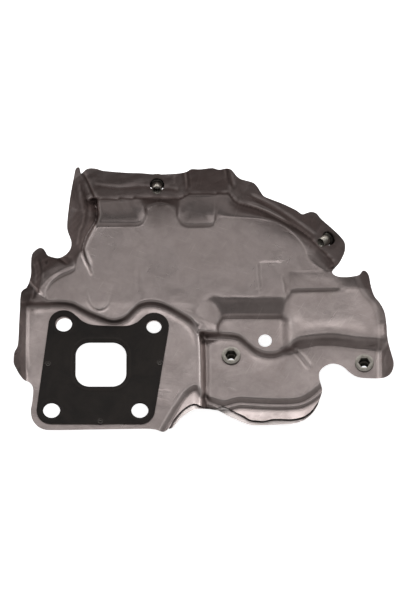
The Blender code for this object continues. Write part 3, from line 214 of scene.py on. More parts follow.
PRESSED_MARKS = (
    PressedMark("foot line of the upper left wall", -0.85, 0.60,
                ((-12.3, 112.1), (-8.8, 106.3), (-5.4, 98.2), (-2.8, 90.0), (-2.8, 85.4), (-5.9, 79.6),
                 (-8.8, 74.4), (-10.6, 70.3), (-11.2, 65.7), (-9.4, 60.5), (-7.1, 55.8), (-5.4, 51.2))),
    PressedMark("ridge beside that line", 0.60, 0.75,
                ((-10.0, 111.5), (-6.5, 104.5), (-3.0, 96.4), (-1.0, 89.5), (-1.6, 84.2), (-4.2, 79.0),
                 (-6.8, 73.8), (-8.6, 69.7), (-9.1, 66.3), (-7.4, 61.0), (-5.4, 56.4))),
    PressedMark("fold of the upper left wall", 0.50, 0.90,
                ((-12.9, 105.7), (-11.2, 95.3), (-10.3, 86.0), (-12.9, 76.7), (-14.1, 68.6))),
    PressedMark("second fold of that wall", -0.50, 0.80,
                ((-10.0, 101.1), (-8.0, 92.4), (-8.8, 83.7), (-12.0, 76.1), (-12.6, 68.6))),
    PressedMark("foot of the lobe", -0.20, 0.60,
                ((-15.8, 63.4), (-14.9, 59.3), (-14.9, 55.2), (-17.5, 52.6), (-23.3, 50.0),
                 (-28.6, 46.3), (-31.8, 41.3))),
    PressedMark("short line beside the pocket", -0.35, 0.60, ((91.5, 59.3), (91.8, 51.8), (92.7, 43.1))),
    PressedMark("lip of that line", 0.25, 0.80, ((90.2, 59.3), (90.5, 51.8), (91.3, 43.1))),
    PressedMark("bead to the right wall", 0.08, 1.00, ((91.5, 59.3), (99.0, 59.6), (107.2, 59.3))),
    PressedMark("crease to the pocket corner", -0.30, 0.80, ((105.4, 51.8), (107.2, 45.4), (108.3, 39.6))),
    PressedMark("first crease by the notch", -0.35, 0.50, ((109.5, 8.8), (114.7, 4.2), (119.9, -2.8))),
    PressedMark("second crease by the notch", 0.35, 0.50, ((111.2, 10.0), (117.0, 5.4), (122.2, -1.6))),
    PressedMark("crease across the top wall", -0.80, 0.60, ((49.4, 115.6), (50.6, 108.0), (51.2, 101.1))),
    PressedMark("pleat beside it", 0.60, 0.70, ((47.7, 115.6), (48.9, 108.0), (49.4, 101.1))),
    PressedMark("crease by the right top corner", -0.80, 0.60,
                ((72.4, 116.1), (73.8, 109.2), (75.3, 102.2))),
    PressedMark("pleat by the right top corner", 0.60, 0.70, ((74.4, 115.0), (75.8, 108.6), (77.3, 102.2))),
    PressedMark("first fold of the diagonal wall", 0.65, 0.90,
                ((86.3, 98.7), (100.8, 91.2), (113.0, 83.1), (124.6, 74.4))),
    PressedMark("second fold of the diagonal wall", -0.55, 0.80,
                ((88.6, 94.7), (101.9, 87.7), (114.1, 78.4), (125.1, 68.0))),
    PressedMark("third fold of the diagonal wall", 0.55, 0.80,
                ((84.0, 93.5), (97.9, 88.3), (109.5, 80.2), (119.9, 69.7))),
    PressedMark("fold of the top wall", 0.45, 0.90,
                ((-4.8, 104.5), (9.7, 102.8), (26.0, 103.4), (45.7, 101.6))),
    PressedMark("dent of the lobe", -1.30, 0.60, ((-31.5, 60.5), (-32.3, 57.0))),
    PressedMark("long crease of the lobe", -0.80, 0.70,
                ((-36.7, 61.6), (-34.9, 54.7), (-35.2, 46.5), (-37.3, 39.6))),
    PressedMark("fold of the lobe", 0.60, 0.80,
                ((-39.3, 59.3), (-37.8, 52.3), (-38.4, 44.2), (-40.7, 36.1))),
    PressedMark("hem of the low left wall", 0.45, 0.70,
                ((-42.8, 34.9), (-42.5, 19.9), (-42.5, 7.1), (-41.6, -3.3))),
    PressedMark("arc under the boss", -0.35, 0.55,
                ((-8.6, 40.7), (-7.4, 36.7), (-5.1, 33.2), (-1.9, 31.2), (1.6, 31.9), (4.2, 34.7))),
    PressedMark("line under the side panel", -0.35, 0.80,
                ((111.2, 10.6), (115.3, 9.1), (125.7, 11.2), (138.5, 10.6), (151.2, 9.4), (159.4, 10.3))),
)


# ---------------------------------------------------------------- curves and distances
def smooth_line(points: Sequence[Point], step: float, closed: bool = False) -> Array:
    """Runs a Catmull-Rom curve through the points and divides it evenly.

    Args:
        points: control points in millimetres.
        step: wanted distance between the new points.
        closed: True for a loop.

    Returns:
        The new points, one row each. A loop doesn't repeat its first point.
    """
    base = np.array(points, dtype=float)
    count = len(base)
    samples: List[Array] = []
    ts = np.linspace(0.0, 1.0, 12, endpoint=False)[:, None]
    for i in range(count if closed else count - 1):
        if closed:
            a, b, c, d = (base[(i + k) % count] for k in (-1, 0, 1, 2))
        else:
            b, c = base[i], base[i + 1]
            a = base[i - 1] if i else b
            d = base[i + 2] if i + 2 < count else c
        samples.append(0.5 * (2 * b + (c - a) * ts + (2 * a - 5 * b + 4 * c - d) * ts ** 2
                              + (3 * b - a - 3 * c + d) * ts ** 3))
    samples.append(base[:1] if closed else base[-1:])
    dense = np.vstack(samples)
    lengths = np.concatenate(([0.0], np.cumsum(np.linalg.norm(np.diff(dense, axis=0), axis=1))))
    marks = np.linspace(0.0, lengths[-1], max(3, int(round(lengths[-1] / step))) + 1)
    out = np.column_stack([np.interp(marks, lengths, dense[:, k]) for k in (0, 1)])
    return out[:-1] if closed else out


def line_distance(u: Array, v: Array, line: Array) -> Tuple[Array, Array]:
    """Distance from each point to an open line.

    Args:
        u: first coordinates of the points.
        v: second coordinates of the points.
        line: the line's points.

    Returns:
        The distances, and how far along the line each nearest point is.
    """
    best = np.full(u.shape, 1e9)
    along = np.zeros(u.shape)
    run = 0.0
    for (ax, ay), (bx, by) in zip(line[:-1], line[1:]):
        dx, dy = bx - ax, by - ay
        size = math.hypot(dx, dy)
        if size < 1e-9:
            continue
        t = np.clip(((u - ax) * dx + (v - ay) * dy) / size ** 2, 0.0, 1.0)
        d = (u - ax - t * dx) ** 2 + (v - ay - t * dy) ** 2
        closer = d < best
        best = np.where(closer, d, best)
        along = np.where(closer, run + t * size, along)
        run += size
    return np.sqrt(best), along


def is_inside(u: Array, v: Array, loop: Array) -> Array:
    """True where a point is inside a closed loop."""
    inside = np.zeros(u.shape, dtype=bool)
    for (ax, ay), (bx, by) in zip(loop, np.roll(loop, -1, axis=0)):
        if ay != by:
            inside ^= ((ay > v) != (by > v)) & (u < (bx - ax) * (v - ay) / (by - ay) + ax)
    return inside


def depth_inside(u: Array, v: Array, loop: Array) -> Array:
    """Distance to a closed loop, positive inside it."""
    ring = np.vstack([loop, loop[:1]])
    return np.where(is_inside(u, v, loop), 1.0, -1.0) * line_distance(u, v, ring)[0]


def ease(depth: Array, width: float, settle: float = 0.05) -> Array:
    """Goes from 0 to 1 across an edge of the given width, with a small settling dip."""
    t = np.clip(depth / width + 0.5, 0.0, 1.0)
    return t * t * (3.0 - 2.0 * t) + settle * bell(depth - 0.75 * width, 0.35 * width)


def soft_step(value: Array, low: float, high: float) -> Array:
    """Goes smoothly from 0 at low to 1 at high."""
    t = np.clip((value - low) / (high - low), 0.0, 1.0)
    return t * t * (3.0 - 2.0 * t)


def bell(away: Array, spread: float) -> Array:
    """A smooth bump, 1 in the middle and about 0 two spreads away."""
    return np.exp(-(away / spread) ** 2)


# ---------------------------------------------------------------- the form
@dataclass(frozen=True)
class PressFrame:
    """How the die plane stands in the part's frame.

    Attributes:
        lean: angle between the press direction and the gasket's normal.
        datum: middle of the exhaust port at the gasket seat, in metres.
    """

    lean: float = math.radians(25.0)
    datum: Vector = field(default_factory=lambda: PressFrame.find_datum())

    @staticmethod
    def find_datum() -> Vector:
        """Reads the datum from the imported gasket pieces."""
        low, high = (Vector(c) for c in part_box("gasket_rivet_bottom"))
        seat = Vector(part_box("gasket_front_layer")[0]).z - 0.3 * MM
        spot = GASKET_RIVETS[2]
        return Vector(((low.x + high.x) / 2 - spot[0] * MM, (low.y + high.y) / 2 - spot[1] * MM, seat))

    @property
    def press(self) -> Array:
        """Unit direction of the press, towards the open side."""
        return np.array([0.0, -math.sin(self.lean), math.cos(self.lean)])

    def place(self, u: Array, v: Array, z: Array) -> Array:
        """Points in millimetres from the datum for points of the die plane."""
        return np.column_stack([u, (v - z * math.sin(self.lean)) / math.cos(self.lean), z])

    def world(self, points: Array) -> Array:
        """Points in the frame of the part, in metres."""
        return points * MM + np.array(self.datum)

    def on_die(self, x: float, y: float, z: float) -> Point:
        """The point of the die plane under a point given from the datum."""
        return x, y * math.cos(self.lean) + z * math.sin(self.lean)


@dataclass
class PressForm:
    """Height of the pressing over the die plane, in millimetres.

    A place is a stretch of the first coordinate (u), or of the second (v) for the side panel, over
    which a height or a width goes from its first value to its last.

    Attributes:
        panel_height: level of the main panel over the gasket.
        panel_slope: rise of the main panel for each millimetre past its start.
        strip_height: level of the strip above the side panel.
        strip_fall: how much lower its outer end is.
        pocket_height: level of the pocket round the plain hole.
        pocket_fall_shares: shares of the pocket's wall at which the fall is given.
        pocket_fall_depths: how far it has fallen there, 0 to 1.
        nut_panel_height: level of the panel of the centre nut.
        side_nut_panel_height: level of the panel of the right nut.
        side_panel_height: level of the raised side panel.
        gasket_step_settle: dip at the foot of the gasket's step, as a share of it.
        cove_rise: rise of the cove from the main panel to the rim.
        cove_power: how late that rise comes.
        pad_rise: rise of the two raised pads.
        wall_places: places at which the top wall's slope is given.
        wall_slopes: its slope there.
        rim_bead: height of the soft bead along the rim.
        rim_line: height of the sharp bead on it.
        groove_depth: depth of the groove beside the gasket panel.
        nut_flat_radius: radius of the flat seat of a wall nut.
        nut_probe: reach over which the seat's slope is read.
        lobe_fade: stretch over which the upper left wall turns into the lobe.
        wall_stations: distances from a wall's foot at which its height is given.
        upper_left_wall: height of the upper left wall at those stations.
        left_lobe_wall: height of the left lobe there.
        lower_left_wall: height of the lower left wall there.
        right_wall: height of the right wall there.
        lip_stations: distances under the lower lip's line at which its height is given.
        lip_wall: its height there.
        diagonal_stations: distances under the diagonal line at which its height is given.
        diagonal_wall: its height there.
        line_step: spacing of the points of the smoothed lines.
    """

    panel_height: float = 4.0
    panel_slope: float = 0.09
    panel_slope_start: float = 36.0
    strip_height: float = 3.2
    strip_fall: float = 1.7
    strip_place: Tuple[float, float] = (105.0, 110.0)
    strip_top: float = 54.0
    strip_fade: float = 10.0
    strip_fall_place: Tuple[float, float] = (132.0, 144.0)
    pocket_fall_shares: Tuple[float, ...] = (0.0, 0.1, 0.84, 1.0)
    pocket_fall_depths: Tuple[float, ...] = (0.0, 0.03, 0.66, 1.0)
    pocket_fall_place: Tuple[float, float] = (60.0, 71.0)
    pocket_fall_width: Tuple[float, float] = (22.0, 13.0)
    pocket_height: float = -3.0
    nut_panel_height: float = -6.5
    side_nut_panel_height: float = -4.5
    side_nut_panel_start: float = 107.0
    side_nut_panel_fade: float = 14.0
    nut_step_width: float = 4.0
    side_panel_height: float = 1.7
    side_panel_places: Tuple[float, ...] = (20.0, 36.0, 41.0)
    side_panel_widths: Tuple[float, ...] = (9.5, 5.0, 1.8)
    gasket_step_place: Tuple[float, float] = (48.0, 58.0)
    gasket_step_width: Tuple[float, float] = (3.7, 4.6)
    gasket_step_settle: float = 0.09
    cove_rise: float = 8.0
    cove_power: float = 1.6
    cove_edge: float = 1.7
    pad_rise: float = 1.3
    pad_edge: float = 2.6
    wall_places: Tuple[float, ...] = (46.0, 49.0, 72.0, 75.0, 96.0)
    wall_slopes: Tuple[float, ...] = (1.08, 1.3, 1.3, 1.05, 1.15)
    rim_bead: float = 0.55
    rim_bead_spread: float = 1.1
    rim_line: float = 0.85
    rim_line_spread: float = 0.65
    groove_depth: float = 0.7
    groove_spread: float = 1.5
    seam_place: float = 21.9
    seam_depth: float = 0.45
    side_pad_rise: float = 0.25
    boss_rise: float = 0.4
    nut_flat_radius: float = 6.6
    nut_flat_fade: float = 1.5
    nut_probe: float = 3.5
    lobe_fade: float = 4.0
    low_wall_fade: float = 8.0
    wall_stations: Tuple[float, ...] = (0.0, 1.3, 4.5, 9.0, 13.0, 18.0, 30.0)
    upper_left_wall: Tuple[float, ...] = (0.0, 1.9, 6.9, 13.9, 19.0, 24.5, 34.0)
    left_lobe_wall: Tuple[float, ...] = (0.0, 1.2, 1.5, 6.0, 12.0, 19.0, 30.0)
    lower_left_wall: Tuple[float, ...] = (0.0, 0.6, 5.0, 10.5, 15.0, 20.0, 30.0)
    right_wall: Tuple[float, ...] = (0.0, 1.0, 4.6, 10.0, 14.0, 19.0, 30.0)
    lip_stations: Tuple[float, ...] = (0.0, 3.0, 4.9, 5.7, 7.0, 13.0, 18.0)
    lip_wall: Tuple[float, ...] = (0.0, -2.5, -2.2, -3.5, -3.6, -1.0, 1.8)
    diagonal_stations: Tuple[float, ...] = (0.0, 2.8, 3.6, 8.0, 12.0)
    diagonal_wall: Tuple[float, ...] = (0.0, -2.6, -2.6, -0.8, 1.4)
    line_step: float = 2.0

    def __post_init__(self) -> None:
        """Smooths the drawn lines and closes the areas they bound."""
        def line(points: Sequence[Point]) -> Array:
            """A drawn line, smoothed."""
            return smooth_line(points, self.line_step)

        self.rim = line(RIM_LINE[3:])
        self.rim_full = np.vstack([[(-60.0, 95.7)], self.rim])
        self.panel_top = line(PANEL_TOP)
        self.step = line(GASKET_STEP)
        self.diagonal = line(DIAGONAL)
        self.pocket = line(POCKET)
        self.nut_step = line(NUT_STEP)
        self.side_panel = smooth_line(SIDE_PANEL_EDGE, self.line_step, closed=True)
        self.lip = line(LIP_LINE)
        self.left_foot = line(LEFT_FOOT + LOW_LEFT_FOOT[1:])
        self.right_foot = line(RIGHT_FOOT)
        self.groove = line(GROOVE)
        self.marks = [(mark, smooth_line(mark.points, 1.0)) for mark in PRESSED_MARKS]
        self.boss = smooth_line(BOSS, 1.5, closed=True)
        self.near_rim = np.array(((-8.0, 80.0), (150.0, 20.0), (150.0, 130.0), (-8.0, 130.0)))
        self.sheet_area = np.array(((60.0, -60.0), (FAR, -60.0), (FAR, 90.0), (60.0, 90.0)))
        self.first_pad = np.array(FIRST_PAD)
        self.second_pad = np.array(SECOND_PAD)
        self.cove = np.vstack([self.panel_top, self.rim[::-1]])
        self.above_rim = np.vstack([self.rim_full, [(170.0, 60.0), (170.0, FAR), (-FAR, FAR)]])
        self.left_side = np.vstack([[(-2.5, FAR)], self.left_foot,
                                    [(-42.0, -60.0), (-FAR, -60.0), (-FAR, FAR)]])
        self.right_side = np.vstack([[(150.0, 70.0)], self.right_foot,
                                     [(161.0, -60.0), (FAR, -60.0), (FAR, 70.0)]])
        self.gasket = np.vstack([[(-FAR, 35.1)], self.step, [(59.2, -FAR), (-FAR, -FAR)]])
        self.below_lip = np.vstack([self.lip, [(150.0, -FAR), (60.8, -FAR)]])
        self.below_diagonal = np.vstack([self.diagonal, [(33.0, -FAR), (61.0, -FAR), (61.0, -18.0)]])
        self.pocket_area = np.vstack([self.pocket,
                                      [(120.0, 30.0), (170.0, 30.0), (170.0, -FAR), (55.0, -FAR)]])
        self.nut_area = np.vstack([self.nut_step, [(114.0, 15.5), (FAR, 15.5), (FAR, -FAR), (57.0, -FAR)]])
        lobe_start, low_wall_start = LEFT_FOOT[8], LEFT_FOOT[-1]
        self.left_marks = line_distance(*np.array([lobe_start, low_wall_start]).T, self.left_foot)[1]
        self.flats: List[Tuple[float, float, float, float, float]] = []
        probe = self.nut_probe
        for u0, v0 in WALL_NUTS:
            us = np.array([u0 - probe, u0 + probe, u0, u0])
            vs = np.array([v0, v0, v0 - probe, v0 + probe])
            z = self.raw(us, vs)
            slope_u, slope_v = (z[1] - z[0]) / (2 * probe), (z[3] - z[2]) / (2 * probe)
            self.flats.append((u0, v0, float(z.mean()), slope_u, slope_v))

    def panels(self, u: Array, v: Array) -> Array:
        """The level of the flat panels and the steps between them."""
        z = self.panel_height + self.panel_slope * np.maximum(v - self.panel_slope_start, 0.0)
        strip = soft_step(u, *self.strip_place) * np.clip((self.strip_top - v) / self.strip_fade, 0.0, 1.0)
        strip_height = self.strip_height - self.strip_fall * soft_step(u, *self.strip_fall_place)
        z = z + (strip_height - z) * strip
        fall_width = np.interp(u, self.pocket_fall_place, self.pocket_fall_width)
        fall = depth_inside(u, v, self.pocket_area) / fall_width + 0.5
        z = z + (self.pocket_height - z) * np.interp(fall, self.pocket_fall_shares, self.pocket_fall_depths)
        share = np.clip((u - self.side_nut_panel_start) / self.side_nut_panel_fade, 0.0, 1.0)
        level = self.nut_panel_height + (self.side_nut_panel_height - self.nut_panel_height) * share
        z = z + (level - z) * ease(depth_inside(u, v, self.nut_area), self.nut_step_width)
        width = np.interp(v, self.side_panel_places, self.side_panel_widths)
        z = z + (self.side_panel_height - z) * ease(depth_inside(u, v, self.side_panel), width)
        width = np.interp(u, self.gasket_step_place, self.gasket_step_width)
        z = z - z * ease(depth_inside(u, v, self.gasket), width, self.gasket_step_settle)
        return z - self.groove_depth * bell(line_distance(u, v, self.groove)[0], self.groove_spread)

    def walls(self, u: Array, v: Array) -> Array:
        """What the cove, the standing walls and the lips add to the panels."""
        to_rim = line_distance(u, v, self.rim_full)[0]
        to_panel = line_distance(u, v, self.panel_top)[0]
        share = to_panel / (to_panel + to_rim + 1e-6)
        pad = np.maximum(ease(depth_inside(u, v, self.first_pad), self.pad_edge, 0.0),
                         ease(depth_inside(u, v, self.second_pad), self.pad_edge, 0.0))
        cove = (self.cove_rise - self.pad_rise * pad) * share ** self.cove_power + self.pad_rise * pad
        top = cove * np.clip(depth_inside(u, v, self.cove) / self.cove_edge + 0.5, 0.0, 1.0)
        slope = np.interp(u, self.wall_places, self.wall_slopes)
        top = np.where(is_inside(u, v, self.above_rim), self.cove_rise + slope * to_rim, top)
        top = top + self.rim_bead * bell(to_rim, self.rim_bead_spread)

        reach, along = line_distance(u, v, self.left_foot)
        lobe = np.clip((along - self.left_marks[0]) / self.lobe_fade + 0.5, 0.0, 1.0)
        low = np.clip((along - self.left_marks[1]) / self.low_wall_fade, 0.0, 1.0)
        upper = np.interp(reach, self.wall_stations, self.upper_left_wall)
        middle = np.interp(reach, self.wall_stations, self.left_lobe_wall)
        lower = np.interp(reach, self.wall_stations, self.lower_left_wall)
        left = upper + (middle - upper) * lobe
        left = np.where(is_inside(u, v, self.left_side), left + (lower - left) * low, 0.0)

        right = np.interp(line_distance(u, v, self.right_foot)[0], self.wall_stations, self.right_wall)
        right = np.where(is_inside(u, v, self.right_side), right, 0.0)
        lip = np.interp(line_distance(u, v, self.lip)[0], self.lip_stations, self.lip_wall)
        lip = np.where(is_inside(u, v, self.below_lip), lip, 0.0)
        slant = np.interp(line_distance(u, v, self.diagonal)[0], self.diagonal_stations, self.diagonal_wall)
        slant = np.where(is_inside(u, v, self.below_diagonal), slant, 0.0)
        return np.maximum(top, left) + right + lip + slant

    def details(self, u: Array, v: Array) -> Array:
        """Shallow bosses, beads and lines pressed into the panels and walls."""
        seam = bell(u - self.seam_place, 1.5) * soft_step(v, 36.0, 46.0) * soft_step(-v, -60.0, -52.0)
        pad = soft_step(u, 90.8, 92.0) * soft_step(-u, -107.5, -103.0) * soft_step(v, 38.0, 44.0)
        pad = pad * soft_step(-v, -60.0, -58.6)
        boss = ease(depth_inside(u, v, self.boss), 1.5, 0.0) * soft_step(-v, -50.0, -37.0)
        ridge = bell(line_distance(u, v, self.right_foot)[0] - 0.2, 0.8)
        ridge = ridge * (0.45 + 0.4 * soft_step(-v, -14.0, -8.0)) * is_inside(u, v, self.sheet_area)
        z = self.side_pad_rise * pad - self.seam_depth * seam + self.boss_rise * boss + ridge
        rim = bell(line_distance(u, v, self.rim_full)[0], self.rim_line_spread)
        z = z + self.rim_line * rim * is_inside(u, v, self.near_rim)
        for mark, line in self.marks:
            away, along = line_distance(u, v, line)
            length = float(np.linalg.norm(np.diff(line, axis=0), axis=1).sum())
            fade = soft_step(along, -0.5, 2.5) * soft_step(length - along, -0.5, 2.5)
            z = z + mark.height * fade * bell(away, mark.spread)
        return z

    def raw(self, u: Array, v: Array) -> Array:
        """The form before the seats of the wall nuts are flattened."""
        return self.panels(u, v) + self.walls(u, v)

    def height(self, u: Array, v: Array) -> Array:
        """Height of the front face over the die plane."""
        z = self.raw(u, v)
        for u0, v0, z0, su, sv in self.flats:
            seat = z0 + su * (u - u0) + sv * (v - v0)
            inside = self.nut_flat_radius + self.nut_flat_fade - np.hypot(u - u0, v - v0)
            near = np.clip(inside / self.nut_flat_fade, 0.0, 1.0)
            z = z + (seat - z) * near
        return z


@dataclass
class PressedSurface:
    """The form on an even grid, softened to the least radius the sheet can bend to.

    Attributes:
        form: the drawn form.
        press: how the die plane stands.
        step: spacing of the grid, mm.
        bend: spread of the softening, mm.
        low: first corner of the grid.
        high: last corner of the grid.
    """

    form: PressForm
    press: PressFrame
    step: float = 0.45
    bend: float = 0.5
    low: Point = (-60.0, -52.0)
    high: Point = (182.0, 124.0)

    def __post_init__(self) -> None:
        """Samples and softens the form."""
        us = np.arange(self.low[0], self.high[0], self.step)
        vs = np.arange(self.low[1], self.high[1], self.step)
        uu, vv = np.meshgrid(us, vs)
        flat_u, flat_v = uu.ravel(), vv.ravel()
        z = self.form.height(flat_u, flat_v).reshape(uu.shape)
        reach = int(math.ceil(3.0 * self.bend / self.step))
        weights = np.exp(-0.5 * (np.arange(-reach, reach + 1) * self.step / self.bend) ** 2)
        weights /= weights.sum()
        for axis in (0, 1):
            pads = [(reach, reach) if k == axis else (0, 0) for k in (0, 1)]
            padded = np.pad(z, pads, mode="edge")
            size = z.shape[axis]
            z = sum(w * np.take(padded, range(k, k + size), axis=axis) for k, w in enumerate(weights))
        fine = FormWrinkles(self.form).height(flat_u, flat_v) + self.form.details(flat_u, flat_v)
        self.grid = z + fine.reshape(uu.shape)

    def height(self, u: Array, v: Array) -> Array:
        """Height at any points, by cubic splines over the grid."""
        x = (np.asarray(u, dtype=float) - self.low[0]) / self.step
        y = (np.asarray(v, dtype=float) - self.low[1]) / self.step
        column = np.clip(np.floor(x).astype(int), 1, self.grid.shape[1] - 3)
        row = np.clip(np.floor(y).astype(int), 1, self.grid.shape[0] - 3)
        across = spline_weights(x - column)
        upward = spline_weights(y - row)
        total = np.zeros(x.shape)
        for j in range(4):
            for i in range(4):
                total += upward[j] * across[i] * self.grid[row + j - 1, column + i - 1]
        return total

    def normals(self, u: Array, v: Array, probe: float) -> Array:
        """Unit normals towards the open side.

        Args:
            u: first coordinates of the points.
            v: second coordinates of the points.
            probe: distance over which the slope is read.

        Returns:
            One normal a row.
        """
        su = (self.height(u + probe, v) - self.height(u - probe, v)) / (2 * probe)
        sv = (self.height(u, v + probe) - self.height(u, v - probe)) / (2 * probe)
        lean_sin, lean_cos = math.sin(self.press.lean), math.cos(self.press.lean)
        along_u = np.column_stack([np.ones(u.shape), -su * lean_sin / lean_cos, su])
        along_v = np.column_stack([np.zeros(u.shape), (1.0 - sv * lean_sin) / lean_cos, sv])
        n = np.cross(along_u, along_v)
        return n / np.linalg.norm(n, axis=1)[:, None]

    def spot(self, centre: Point) -> Tuple[Vector, Vector]:
        """Place (mm from the datum) and normal of the surface at a point of the die plane."""
        u, v = np.array([centre[0]]), np.array([centre[1]])
        place = self.press.place(u, v, self.height(u, v))[0]
        return Vector(place), Vector(self.normals(u, v, 1.5)[0])

    def crease(self, u: Array, v: Array, reach: float = 1.0) -> Array:
        """How hollow (above 0) or ridged (below 0) the surface is at each point."""
        around = (self.height(u + reach, v) + self.height(u - reach, v)
                  + self.height(u, v + reach) + self.height(u, v - reach))
        return np.clip(around / 4.0 - self.height(u, v), -1.0, 1.0)


def spline_weights(t: Array) -> List[Array]:
    """The four weights of an even cubic spline."""
    return [(1 - t) ** 3 / 6, (3 * t ** 3 - 6 * t ** 2 + 4) / 6,
            (-3 * t ** 3 + 3 * t ** 2 + 3 * t + 1) / 6, t ** 3 / 6]


@dataclass
class FormWrinkles:
    """Uneven places that forming leaves in thin sheet.

    Attributes:
        form: the drawn form, for where the walls are.
        wave: height of the slow waves of the open panels, mm.
        waves: how many of them.
        wave_lengths: shortest and longest wave, mm.
        pleat: height of the pleats on the standing walls, mm.
        pleats: how many runs of them on each wall.
        pleat_lengths: closest and widest spacing of the pleats, mm.
        seed: start of the random numbers.
    """

    form: PressForm
    wave: float = 0.12
    waves: int = 14
    wave_lengths: Tuple[float, float] = (16.0, 46.0)
    pleat: float = 0.35
    pleats: int = 6
    pleat_lengths: Tuple[float, float] = (5.0, 13.0)
    seed: int = 11

    def height(self, u: Array, v: Array) -> Array:
        """What the wrinkles add to the height."""
        random = np.random.default_rng(self.seed)
        total = np.zeros(u.shape)
        for _ in range(self.waves):
            angle = random.uniform(0.0, math.pi)
            length = random.uniform(*self.wave_lengths)
            phase = random.uniform(0.0, 2 * math.pi)
            total += np.sin((u * math.cos(angle) + v * math.sin(angle)) * 2 * math.pi / length + phase)
        total *= self.wave / 3.7
        reach, along = line_distance(u, v, self.form.left_foot)
        on_wall = is_inside(u, v, self.form.left_side) * soft_step(reach, 1.5, 7.0)
        rim_reach, rim_along = line_distance(u, v, self.form.rim_full)
        on_top = is_inside(u, v, self.form.above_rim) * soft_step(rim_reach, 1.5, 6.0)
        side_reach, side_along = line_distance(u, v, self.form.right_foot)
        on_side = is_inside(u, v, self.form.right_side) * soft_step(side_reach, 1.0, 4.0)
        for share, place, depth, size in ((on_wall, along, reach, 1.0), (on_top, rim_along, rim_reach, 0.5),
                                          (on_side, side_along, side_reach, 0.6)):
            pleats = np.zeros(u.shape)
            for _ in range(self.pleats):
                length = random.uniform(*self.pleat_lengths)
                lean = random.uniform(-0.45, 0.45)
                phase = random.uniform(0.0, math.pi)
                bow = 2.2 * np.sin(place / random.uniform(9.0, 17.0) + random.uniform(0.0, 6.0))
                fold = 1.0 - np.abs(np.sin((depth + lean * place + bow) * math.pi / length + phase))
                pleats += length / 9.0 * (fold ** 1.6 - 0.35)
            total += share * size * self.pleat * pleats / 1.6
        return total


# ---------------------------------------------------------------- flat meshing
def circle(centre: Point, radius: float, count: int) -> Array:
    """Points of a circle, anticlockwise."""
    turn = np.linspace(0.0, 2 * math.pi, count, endpoint=False)
    return np.column_stack([centre[0] + radius * np.cos(turn), centre[1] + radius * np.sin(turn)])


@dataclass
class FlatMesher:
    """Fills an outline with a regular grid of quads and a fitted border.

    Attributes:
        outline: the outer loop.
        holes: loops that are left open.
        step: side of a quad.
        border: least distance of a quad's corners from the loops, in steps.
    """

    outline: Array
    holes: List[Array]
    step: float
    border: float = 0.62

    def depth(self, u: Array, v: Array) -> Array:
        """Distance to the nearest loop, positive on material."""
        depth = depth_inside(u, v, self.outline)
        for hole in self.holes:
            depth = np.minimum(depth, -depth_inside(u, v, hole))
        return depth

    def build(self) -> Tuple[Array, List[Tuple[int, ...]]]:
        """Makes the points and the faces.

        Returns:
            The points of the die plane, the loops' own points first, and faces that index them.
        """
        loops = np.vstack([self.outline] + self.holes)
        low = self.outline.min(axis=0) - self.step
        high = self.outline.max(axis=0) + self.step
        us = np.arange(low[0], high[0], self.step)
        vs = np.arange(low[1], high[1], self.step)
        uu, vv = np.meshgrid(us, vs)
        depth = self.depth(uu.ravel(), vv.ravel()).reshape(uu.shape)
        good = depth > self.border * self.step
        cells = good[:-1, :-1] & good[1:, :-1] & good[:-1, 1:] & good[1:, 1:]
        number = -np.ones(uu.shape, dtype=int)
        used = np.zeros(uu.shape, dtype=bool)
        for dj, di in ((0, 0), (0, 1), (1, 0), (1, 1)):
            used[dj:dj + cells.shape[0], di:di + cells.shape[1]] |= cells
        number[used] = np.arange(int(used.sum())) + len(loops)
        points = np.vstack([loops, np.column_stack([uu[used], vv[used]])])
        faces: List[Tuple[int, ...]] = []
        rows, columns = np.nonzero(cells)
        for j, i in zip(rows.tolist(), columns.tolist()):
            faces.append((number[j, i], number[j, i + 1], number[j + 1, i + 1], number[j + 1, i]))
        self.add_border(points, faces, (us, vs, cells))
        return points, faces

    def add_border(self, points: Array, faces: List[Tuple[int, ...]],
                   grid: Tuple[Array, Array, Array]) -> None:
        """Joins the quads to the outline and the holes with triangles."""
        us, vs, cells = grid
        count: Dict[Tuple[int, int], int] = {}
        for face in faces:
            for a, b in zip(face, face[1:] + face[:1]):
                key = (min(a, b), max(a, b))
                count[key] = count.get(key, 0) + 1
        edges = [key for key, uses in count.items() if uses == 1]
        start = 0
        for loop in [self.outline] + self.holes:
            edges += [(start + k, start + (k + 1) % len(loop)) for k in range(len(loop))]
            start += len(loop)
        ids = sorted({i for key in edges for i in key})
        local = {i: k for k, i in enumerate(ids)}
        spots = [Vector(points[i]) for i in ids]
        pairs = [(local[a], local[b]) for a, b in edges]
        verts, _, tris, origin, _, _ = delaunay_2d_cdt(spots, pairs, [], 0, 1e-5)
        target = [ids[sources[0]] if sources else -1 for sources in origin]
        flat = np.array([tuple(p) for p in verts])
        corner = np.array([tuple(t) for t in tris])
        middle = flat[corner].mean(axis=1)
        column = np.clip(((middle[:, 0] - us[0]) / self.step).astype(int), 0, cells.shape[1] - 1)
        row = np.clip(((middle[:, 1] - vs[0]) / self.step).astype(int), 0, cells.shape[0] - 1)
        keep = (self.depth(middle[:, 0], middle[:, 1]) > 0.0) & ~cells[row, column]
        for tri in corner[keep]:
            face = tuple(target[int(i)] for i in tri)
            if min(face) >= 0:
                faces.append(face)


@dataclass
class Skin:
    """One side of a sheet.

    Attributes:
        points: its points in metres.
        faces: faces that index them.
        crease: how creased or rubbed it is at each point.
    """

    points: Array
    faces: List[Tuple[int, ...]]
    crease: Array


